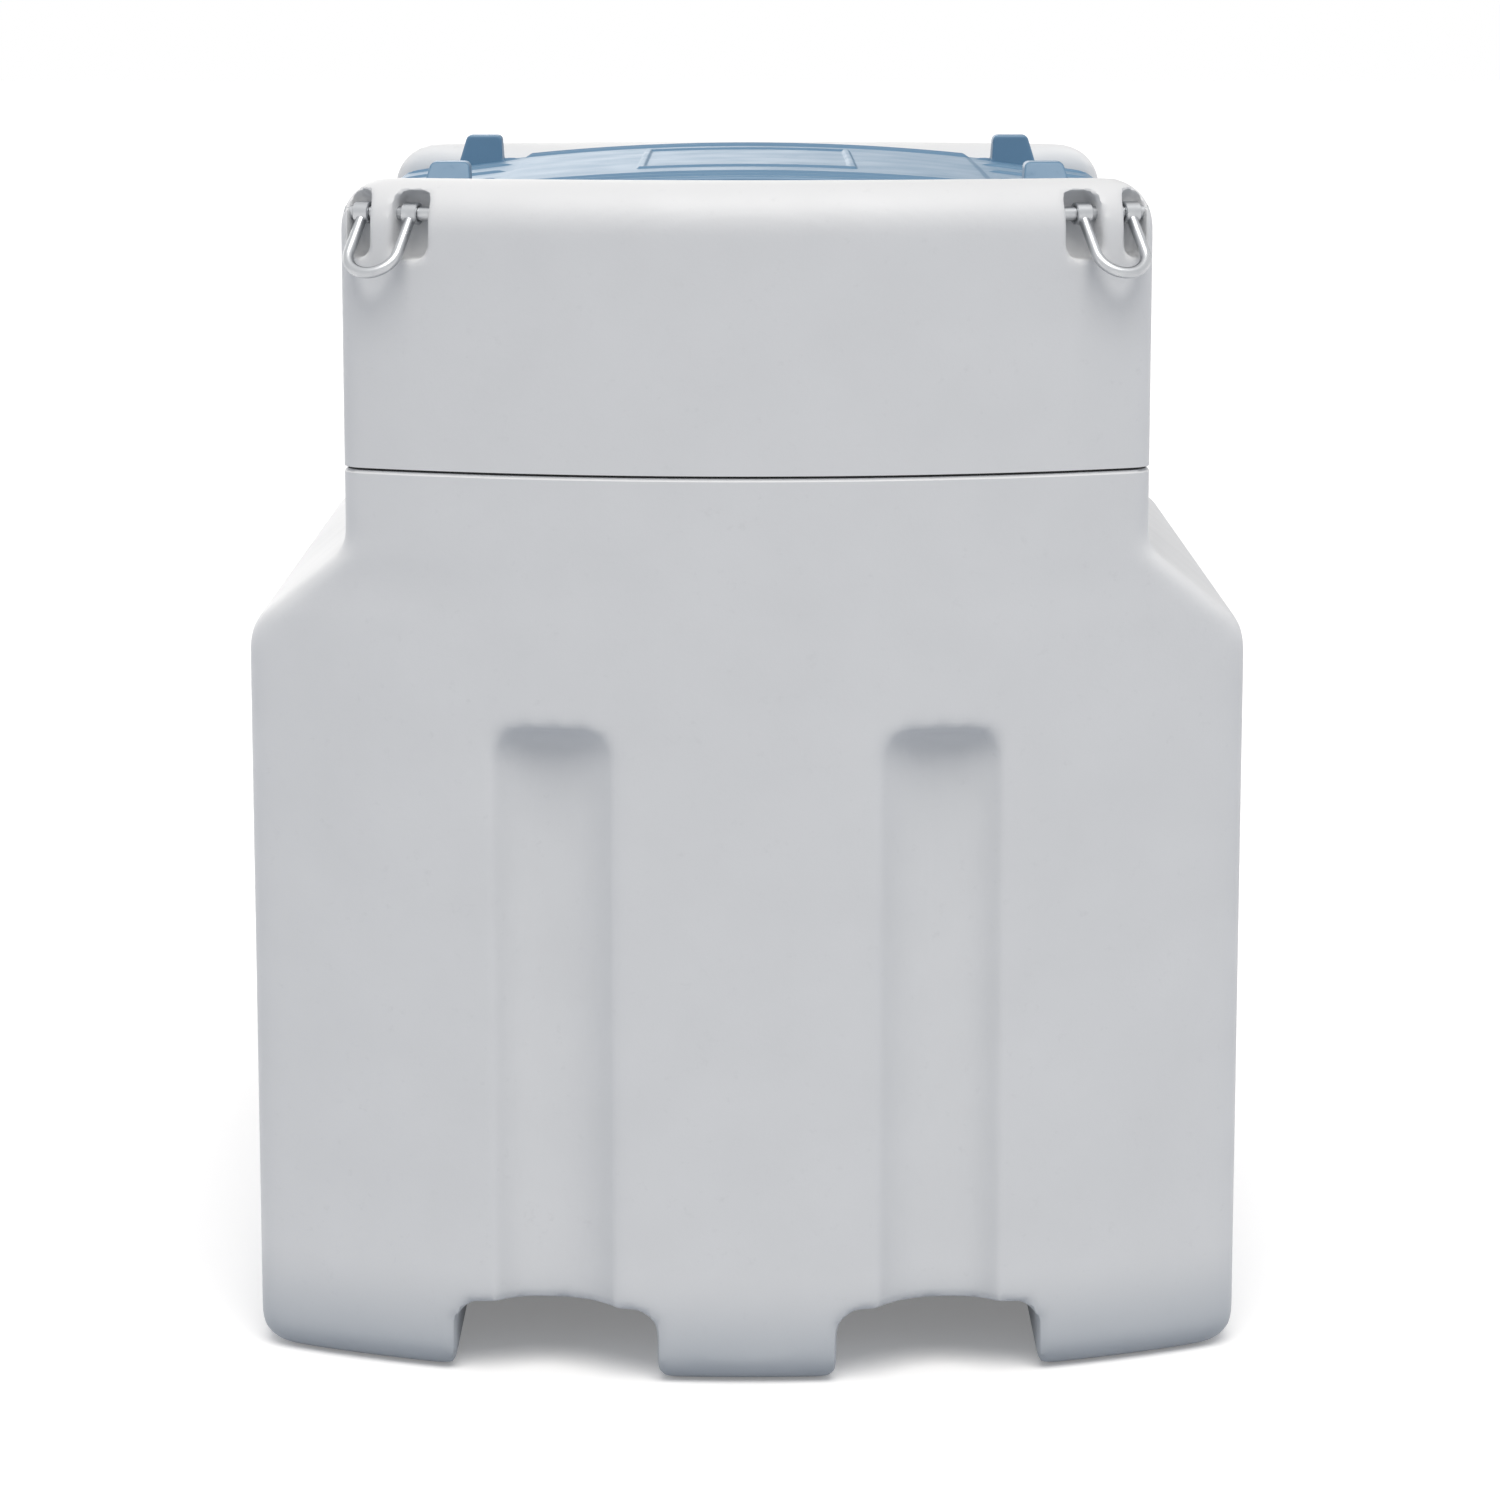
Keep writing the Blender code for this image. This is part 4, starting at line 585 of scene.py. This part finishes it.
CORNERS = {
    "front_left": (-1, -1),
    "front_right": (1, -1),
    "rear_left": (-1, 1),
    "rear_right": (1, 1),
}
FLAT = Matrix.Identity(4)

rings = [ring(NECK_HALF, Y_FRONT, NECK_REAR, NECK_CORNER, CABINET_Z - SPARE)]
for i in range(RIM_STEPS + 1):
    angle = math.pi / 2 * i / RIM_STEPS
    shrink = RIM_ROUND * (1 - math.cos(angle))
    height = RIM_Z - RIM_ROUND * (1 - math.sin(angle))
    corner = max(NECK_CORNER - RIM_CORNER_SHARE * shrink, RIM_CORNER_LEAST * NECK_CORNER)
    rings.append(ring(NECK_HALF - shrink, Y_FRONT + shrink, NECK_REAR - shrink, corner, height))
cabinet = loft("cabinet_moulding", rings)
gable_deep = bow(GABLE_HOLLOW_WIDTH / 2) + GABLE_SHELL
saddle = []
for i in range(SADDLE_STEPS + 1):
    x = NECK_HALF * (2 * i / SADDLE_STEPS - 1) * SADDLE_REACH
    reach = max(GABLE - RIM_ROUND - bow(x), CROWN_LEAST)
    slope = [(Y_FRONT + GABLE, LID_BOTTOM - LID_SEAT_GAP)]
    for a, b in arc((0.0, 0.0), 1.0, 0, 90, 12):
        slope.append((Y_FRONT + GABLE - reach * (1 - a), LID_EDGE_Z + (RIM_Z - LID_EDGE_Z) * b))
    slope.append((slope[-1][0], RIM_Z + SPARE))
    slope += [(Y_FRONT + NECK_REAR - y, z) for y, z in reversed(slope)]
    saddle.append([(x, y, z) for y, z in slope])
tools = [
    loft("saddle", saddle),
    prism("room", rounded_box(-ROOM_HALF, ROOM_HALF, ROOM_FRONT, ROOM_REAR, CABINET_CORNER),
          CABINET_Z + FLANGE_THICK, RIM_Z, FLAT),
    prism("foot", rounded_box(-ROOM_HALF + FLANGE, ROOM_HALF - FLANGE, ROOM_FRONT + FLANGE,
                              ROOM_REAR - FLANGE, CABINET_CORNER),
          CABINET_Z - CUTTER_FOOT, RIM_Z - CUTTER_STAGGER, FLAT),
]
for near, far in ((Y_FRONT + gable_deep, ROOM_FRONT - GABLE_SHELL),
                  (ROOM_REAR + GABLE_SHELL, NECK_REAR - gable_deep)):
    tools.append(block("hollow", (-GABLE_HOLLOW_WIDTH / 2, near, CABINET_Z - CUTTER_FOOT),
                       (GABLE_HOLLOW_WIDTH / 2, far, LID_BOTTOM - GABLE_SHELL)))
for across, along in CORNERS.values():
    upright = corner_frame(across, along) @ UPRIGHT
    for left, right in ((RIB_HALF, SLOT_OUTER), (-SLOT_INNER, -RIB_HALF)):
        outline = rounded_box(left, right, SLOT_FLOOR_Z, SLOT_CEILING_Z, SLOT_ROUND)
        tools.append(prism("slot", outline, -SLOT_DEPTH, SLOT_OUT, upright))
combine(cabinet, tools)
softened(cabinet, CABINET_VOXEL, CABINET_RELAX)
trim = block("trim", (-WIDTH, -LENGTH, CABINET_Z - 2 * SPARE), (WIDTH, LENGTH, CABINET_Z))
combine(cabinet, [trim])
cabinet.data.set_sharp_from_angle(angle=SHARP)
cabinet.data.materials.append(NATURAL_PE)
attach(cabinet, "tank")
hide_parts("upper_housing")

# ------------------------------------------------------------------ lid
# Blue moulding with a low vault, a raised middle panel with a blank frame, cross ribs on both sides
# and beads at its ends.  It turns on two pins along its left edge.
LID_HALF = 0.384
LID_RISE = 0.030
LID_SHELL = 0.006
LID_FRONT = -0.522
LID_REAR = 0.172
LID_MIDDLE = (LID_FRONT + LID_REAR) / 2
PANEL_HALF = 0.251
PANEL_RISE = 0.0015
PANEL_FOLD = 0.010
RIB_COUNT = 5
RIB_PITCH = 0.150
RIB_WIDTH = 0.007
RIB_RISE = 0.0028
RIB_EDGE = 0.012
RIB_START = 0.004                    # from the panel's fold and from the lid's edge
BEAD_INSETS = (0.014, 0.056)
BEAD_WIDTH = 0.008
BEAD_RISE = 0.0026
FRAME_WIDTH = 0.225
FRAME_LENGTH = 0.380
FRAME_BAND = 0.010
FRAME_RISE = 0.0022
FRAME_SLOPE = 0.003
LID_CROWN = 0.0028                   # of the vault's middle over its ends
EDGE_ROUND = 0.004
EDGE_STEPS = 4
EDGE_CHAMFER = 0.002                 # at the foot of the lid's skirt
TOUCH = 1e-6                         # two places nearer than this are one
VAULT_RADIUS = (LID_HALF ** 2 + LID_RISE ** 2) / (2 * LID_RISE)
LID_SHARP = math.radians(50)
LID_GRID = 0.006
DETAIL_GRID = 0.001                  # across the pressed details
DETAIL_SPARE = 0.002                 # of the fine grid past a detail


def ridge(distance, width):
    """Height share of a soft ridge at a distance from its middle."""
    share = min(1.0, abs(distance) / (width / 2))
    return 0.5 + 0.5 * math.cos(math.pi * share)


def step(value, low, high):
    """Soft step from 0 at low to 1 at high."""
    share = min(1.0, max(0.0, (value - low) / (high - low)))
    return share * share * (3 - 2 * share)


def lid_height(x, y):
    """Top of the lid with all its pressed detail."""
    z = LID_EDGE_Z + LID_RISE - bow(x, VAULT_RADIUS)
    ends = 2 * (y - LID_MIDDLE) / (LID_REAR - LID_FRONT)
    z += LID_CROWN * (1 - ends * ends) * (1 - (x / LID_HALF) ** 2)
    panel = 1 - step(abs(x), PANEL_HALF - PANEL_FOLD, PANEL_HALF)
    z += PANEL_RISE * panel
    for inset in BEAD_INSETS:
        for middle in (LID_FRONT + inset, LID_REAR - inset):
            z += BEAD_RISE * ridge(y - middle, BEAD_WIDTH) * panel
    side = step(abs(x), PANEL_HALF + RIB_START, PANEL_HALF + RIB_EDGE)
    side *= 1 - step(abs(x), LID_HALF - RIB_EDGE, LID_HALF - RIB_START)
    for number in range(RIB_COUNT):
        middle = LID_MIDDLE + RIB_PITCH * (number - (RIB_COUNT - 1) / 2)
        z += RIB_RISE * ridge(y - middle, RIB_WIDTH) * side
    across = abs(x) - FRAME_WIDTH / 2
    along = abs(y - LID_MIDDLE) - FRAME_LENGTH / 2
    outside = max(across, along)
    z += FRAME_RISE * (step(outside, -FRAME_BAND, -FRAME_BAND + FRAME_SLOPE)
                       - step(outside, -FRAME_SLOPE, 0.0))
    return z


def stations(low, high, details):
    """Places from low to high: an even grid, and a fine one from side to side of each detail."""
    count = round((high - low) / LID_GRID)
    marks = [low + (high - low) * i / count for i in range(1, count)]
    fine = []
    for middle, width in details:
        marks = [mark for mark in marks if abs(mark - middle) > width / 2 + DETAIL_GRID / 2]
        steps = round(width / DETAIL_GRID)
        fine += [middle + width * (i / steps - 0.5) for i in range(steps + 1)]
    kept = [low]
    for mark in sorted(marks + fine):
        if mark - kept[-1] > DETAIL_GRID / 2 and high - mark > DETAIL_GRID / 2:
            kept.append(mark)
    return kept + [high]


across = [(side * (PANEL_HALF - PANEL_FOLD / 2), PANEL_FOLD) for side in (-1, 1)]
across += [(side * (FRAME_WIDTH - FRAME_BAND) / 2, FRAME_BAND + DETAIL_SPARE) for side in (-1, 1)]
along = [(LID_MIDDLE + side * (FRAME_LENGTH - FRAME_BAND) / 2, FRAME_BAND + DETAIL_SPARE)
         for side in (-1, 1)]
for inset in BEAD_INSETS:
    along += [(LID_FRONT + inset, BEAD_WIDTH), (LID_REAR - inset, BEAD_WIDTH)]
for number in range(RIB_COUNT):
    along.append((LID_MIDDLE + RIB_PITCH * (number - (RIB_COUNT - 1) / 2), RIB_WIDTH))
x_stations = stations(EDGE_ROUND - LID_HALF, LID_HALF - EDGE_ROUND, across)
y_stations = stations(LID_FRONT + EDGE_ROUND, LID_REAR - EDGE_ROUND, along)
columns = len(x_stations) - 1
rows = len(y_stations) - 1
shape = bmesh.new()
top = [[shape.verts.new((x, y, lid_height(x, y))) for x in x_stations] for y in y_stations]
for low, high in zip(top, top[1:]):
    for i in range(columns):
        shape.faces.new((low[i], low[i + 1], high[i + 1], high[i]))
rim = top[0][:-1] + [line[-1] for line in top[:-1]]
rim += top[-1][:0:-1] + [line[0] for line in top[:0:-1]]


def lid_loop(out, down, flat=None):
    """Copy of the lid's rim, moved out from its middle and down; flat gives one height."""
    loop = []
    for vert in rim:
        x, y, z = vert.co
        at_side = abs(abs(x) - (LID_HALF - EDGE_ROUND)) < TOUCH
        at_end = min(abs(y - LID_FRONT - EDGE_ROUND), abs(LID_REAR - EDGE_ROUND - y)) < TOUCH
        x += out * (1 if x > 0 else -1) * at_side
        y += out * (1 if y > LID_MIDDLE else -1) * at_end
        loop.append(shape.verts.new((x, y, z - down if flat is None else flat)))
    return loop


loops = [rim]
for i in range(1, EDGE_STEPS + 1):
    angle = math.pi / 2 * i / EDGE_STEPS
    loops.append(lid_loop(EDGE_ROUND * math.sin(angle), EDGE_ROUND * (1 - math.cos(angle))))
loops.append(lid_loop(EDGE_ROUND, 0.0, LID_BOTTOM + EDGE_CHAMFER))
loops.append(lid_loop(EDGE_ROUND - EDGE_CHAMFER, 0.0, LID_BOTTOM))
loops.append(lid_loop(EDGE_ROUND - LID_SHELL, 0.0, LID_BOTTOM))
loops.append(lid_loop(EDGE_ROUND - LID_SHELL, LID_SHELL))
for low, high in zip(loops, loops[1:]):
    for i in range(len(rim)):
        j = (i + 1) % len(rim)
        shape.faces.new((low[i], low[j], high[j], high[i]))
under = []
for j in range(rows + 1):
    line = []
    for i in range(columns + 1):
        x, y, z = top[j][i].co
        at_rim = i in (0, columns) or j in (0, rows)
        line.append(None if at_rim else shape.verts.new((x, y, z - LID_SHELL)))
    under.append(line)
inner = loops[-1]
count = 0
for i in range(columns):
    under[0][i] = inner[count]
    count += 1
for j in range(rows):
    under[j][columns] = inner[count]
    count += 1
for i in range(columns, 0, -1):
    under[rows][i] = inner[count]
    count += 1
for j in range(rows, 0, -1):
    under[j][0] = inner[count]
    count += 1
for low, high in zip(under, under[1:]):
    for i in range(columns):
        shape.faces.new((low[i], high[i], high[i + 1], low[i + 1]))
lid = solid("lid_moulding", shape)
lid.data.shade_smooth()
lid.data.set_sharp_from_angle(angle=LID_SHARP)
# blue polyethylene, glossier than the tank: light washes over it at a flat angle
BLUE_PE = polymer("blue_polyethylene_rotomoulded", "#6489A6", "#5C7F9B", 0.40, 3.0, 0.05, 70.0)
lid.data.materials.append(BLUE_PE)
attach(lid, "lid")
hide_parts("lid")

# ------------------------------------------------------------------ stacking lugs
# Four blocks of the same blue polyethylene, moulded in one with the lid near its corners.  They key a
# second tank stacked on top, and the face that meets it first leans inward.
LUG_CENTRE = 0.297
LUG_INSET = 0.034
LUG_WIDTH = 0.046
LUG_TOP_WIDTH = 0.038
LUG_LENGTH = 0.050
LUG_HEIGHT = 0.032
LUG_ROUND = 0.006
LUG_LEAN = math.radians(30.0)        # of the face that meets the upper tank first
LUG_FLANGE = 0.004
LUG_SINK = 0.006                     # into the vault
LUG_FALL = 0.003                     # of the flange's outer edge, which follows the vault
LUG_DRAFT = 0.001
LUG_FILLET = 0.002
LUG_VOXEL = 0.0012
LUG_RELAX = 4


def lug(name, sign, middle):
    """One block with soft edges and a small foot."""
    inner = LUG_CENTRE - LUG_WIDTH / 2
    outer = LUG_CENTRE + LUG_WIDTH / 2
    base = LID_EDGE_Z + LID_RISE - bow(LUG_CENTRE, VAULT_RADIUS)
    line = [(outer + LUG_FLANGE, base - LUG_SINK)]
    line += filleted([
        (outer + LUG_FLANGE, base + LUG_FLANGE - LUG_FALL, 0.0),
        (outer + LUG_DRAFT, base + LUG_FLANGE - LUG_DRAFT, LUG_FILLET),
        (inner + LUG_TOP_WIDTH, base + LUG_HEIGHT, LUG_ROUND),
        (inner, base + LUG_HEIGHT, LUG_ROUND),
        (inner - LUG_DRAFT, base + LUG_FLANGE + LUG_DRAFT, LUG_FILLET),
        (inner - LUG_FLANGE, base + LUG_FLANGE - LUG_DRAFT, 0.0),
    ], 6)
    line += [(inner - LUG_FLANGE, base - LUG_SINK)]
    outline = [(sign * a, b) for a, b in line]
    outward = math.copysign(1.0, middle - LID_MIDDLE)
    rings = []
    for end in (-1, 1):
        lean = math.tan(LUG_LEAN) * (end == outward)
        rings.append([(a, middle + end * LUG_LENGTH / 2 - outward * lean * max(0.0, b - base), b)
                      for a, b in outline])
    made = loft(name, rings)
    softened(made, LUG_VOXEL, LUG_RELAX)
    made.data.materials.append(BLUE_PE)
    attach(made, "lid")


for end, middle in (("front", LID_FRONT + LUG_INSET), ("rear", LID_REAR - LUG_INSET)):
    for side, sign in (("left", -1), ("right", 1)):
        lug(f"lid_lug_{end}_{side}", sign, middle)

# ------------------------------------------------------------------ lifting bails
# U-shaped zinc-plated rods with strap eyes, hanging from a bar through each corner rib.
ROD_RADIUS = 0.0055
BAIL_HALF = 0.026
BAIL_LENGTH = 0.075
EYE_WIDTH = 0.016
EYE_THICK = 0.003
EYE_CHAMFER = 0.0008
EYE_STEPS = 48
RUN = 0.0008                         # clearance between an eye and its bar
BAR_SEAT = 0.006                     # of the bar's ends in the moulding
LEG_POINT = 0.03                     # on a straight leg, between its eye and the bend
BAIL_REST = math.radians(43.0)


def tube(name, points, radius, sides=20):
    """Round rod along a smooth line of points, as a mesh."""
    rings = []
    reference = Vector((0, 1, 0))
    count = len(points)
    for i, point in enumerate(points):
        before = Vector(points[max(i - 1, 0)])
        after = Vector(points[min(i + 1, count - 1)])
        along = (after - before).normalized()
        first = along.cross(reference).normalized()
        second = first.cross(along)
        section = []
        for k in range(sides):
            angle = 2 * math.pi * k / sides
            spoke = math.cos(angle) * first + math.sin(angle) * second
            section.append(Vector(point) + radius * spoke)
        rings.append(section)
    return loft(name, rings)


def plated(name, colour, dark, roughness, grain_mm, relief_mm, metallic=1.0):
    """Metal with a drawn surface: fine grain in its relief, wandering gloss and faint blooms."""
    made = bpy.data.materials.new(name)
    made.use_nodes = True
    tree = made.node_tree
    tree.nodes.clear()
    place = add(tree, "ShaderNodeTexCoord")
    bloom = add(tree, "ShaderNodeTexNoise",
                {"Vector": place.outputs["Object"], "Scale": 60.0, "Detail": 5.0})
    fine = add(tree, "ShaderNodeTexNoise",
               {"Vector": place.outputs["Object"], "Scale": 1000 / grain_mm, "Detail": 3.0})
    tint = add(tree, "ShaderNodeMix", {0: bloom.outputs[0], 6: linear(dark), 7: linear(colour)},
               data_type="RGBA")
    gloss = add(tree, "ShaderNodeMapRange",
                {0: bloom.outputs[0], 1: 0.3, 2: 0.7, 3: roughness + 0.1, 4: roughness - 0.06})
    relief = add(tree, "ShaderNodeBump",
                 {"Height": fine.outputs[0], "Strength": 0.4, "Distance": relief_mm / 1000})
    body = add(tree, "ShaderNodeBsdfPrincipled",
               {"Base Color": tint.outputs[2], "Roughness": gloss.outputs[0],
                "Normal": relief.outputs[0], "Metallic": metallic})
    add(tree, "ShaderNodeOutputMaterial", {"Surface": body.outputs[0]})
    return made


# zinc-plated steel: bright with pale blooms and a slightly milky gloss
ZINC = plated("zinc_plated_steel", "#C9CBCD", "#A9ACB0", 0.32, 1.2, 0.03)

for place, (across, along) in CORNERS.items():
    frame_here = corner_frame(across, along)
    axis_point = Vector((0.0, -BAR_SETBACK, BAIL_Z))
    facing = Matrix.Diagonal((across * along, 1.0, 1.0, 1.0))
    hang = frame_here @ Matrix.Translation(axis_point) @ facing @ Matrix.Rotation(BAIL_REST, 4, "X")
    straight = BAIL_LENGTH - BAIL_HALF
    line = [(-BAIL_HALF, 0.0, -(BAR_RADIUS + RUN + 0.5 * EYE_THICK)), (-BAIL_HALF, 0.0, -LEG_POINT)]
    line += [(a, 0.0, b) for a, b in arc((0.0, -straight), BAIL_HALF, 180, 360, 32)]
    line += [(BAIL_HALF, 0.0, -LEG_POINT), (BAIL_HALF, 0.0, -(BAR_RADIUS + RUN + 0.5 * EYE_THICK))]
    bail = tube("bail_" + place, line, ROD_RADIUS)
    eyes = []
    for sign in (-1, 1):
        inner, outer, half = BAR_RADIUS + RUN, BAR_RADIUS + RUN + EYE_THICK, EYE_WIDTH / 2
        rings = []
        for reach, offset in (
            (inner, -half), (outer - EYE_CHAMFER, -half), (outer, -half + EYE_CHAMFER),
            (outer, half - EYE_CHAMFER), (outer - EYE_CHAMFER, half), (inner, half),
        ):
            circle = arc((0, 0), reach, 0, 360 - 360 / EYE_STEPS, EYE_STEPS - 1)
            rings.append([(sign * BAIL_HALF + offset, a, b) for a, b in circle])
        eyes.append(loft("eye", rings, True))
    combine(bail, eyes, "UNION")
    bail.data.shade_smooth()
    bail.data.set_sharp_from_angle(angle=SHARP)
    bail.data.materials.append(ZINC)
    bail.matrix_world = hang
    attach(bail, "bail_" + place)
    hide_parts("lift_bail_" + place)
    low = frame_here @ (axis_point - Vector((SLOT_INNER + BAR_SEAT, 0, 0)))
    high = frame_here @ (axis_point + Vector((SLOT_OUTER + BAR_SEAT, 0, 0)))
    bar = cylinder("bar_" + place, BAR_RADIUS, low, high)
    bar.data.shade_smooth()
    bar.data.set_sharp_from_angle(angle=SHARP)
    bar.data.materials.append(ZINC)
    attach(bar, "tank")
    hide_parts("bail_bar_" + place)

# ------------------------------------------------------------------ fittings in the cabinet
# Manhole with its screwed cover, filler and breather, and the suction line with its valve and outlet.
# All are screwed, bolted or clamped to the tank's deck or to the cabinet's wall, and keep their shapes
# from the solids.
# moulded polypropylene, black or blue: even colour and a fine satin skin
BLACK_PP = polymer("black_polypropylene_moulded", "#1B1C1E", "#141517", 0.5, 0.8, 0.03, 25.0)
BLUE_PP = polymer("blue_polypropylene_moulded", "#2A5E9C", "#234F86", 0.38, 0.9, 0.03, 30.0)
# extruded rubber: almost black and dull
RUBBER = polymer("black_rubber_extruded", "#17181A", "#101112", 0.75, 0.6, 0.03, 20.0)
# extruded polyethylene pipe: whiter and smoother than the tank
PIPE_PE = polymer("white_pipe_extruded", "#DADDE0", "#D0D3D6", 0.36, 2.0, 0.02, 40.0)
# turned stainless steel: darker and sharper in its gloss than the zinc
STAINLESS = plated("stainless_steel_turned", "#BFC0C2", "#A5A7AA", 0.26, 0.7, 0.02)
SLOT_STUFF = {
    "black_plastic": BLACK_PP,
    "blue_plastic": BLUE_PP,
    "black_rubber": RUBBER,
    "white_pipe": PIPE_PE,
    "stainless": STAINLESS,
    "zinc_steel": ZINC,
    "white_mould": NATURAL_PE,
    "blue_mould": BLUE_PE,
}
for part in frame["record"]["subparts"]:
    carried = frame["nodes"][part["node"]]
    if carried.hide_render:
        continue
    carried.data.materials.clear()
    carried.data.materials.append(SLOT_STUFF[part["material_slot"]])
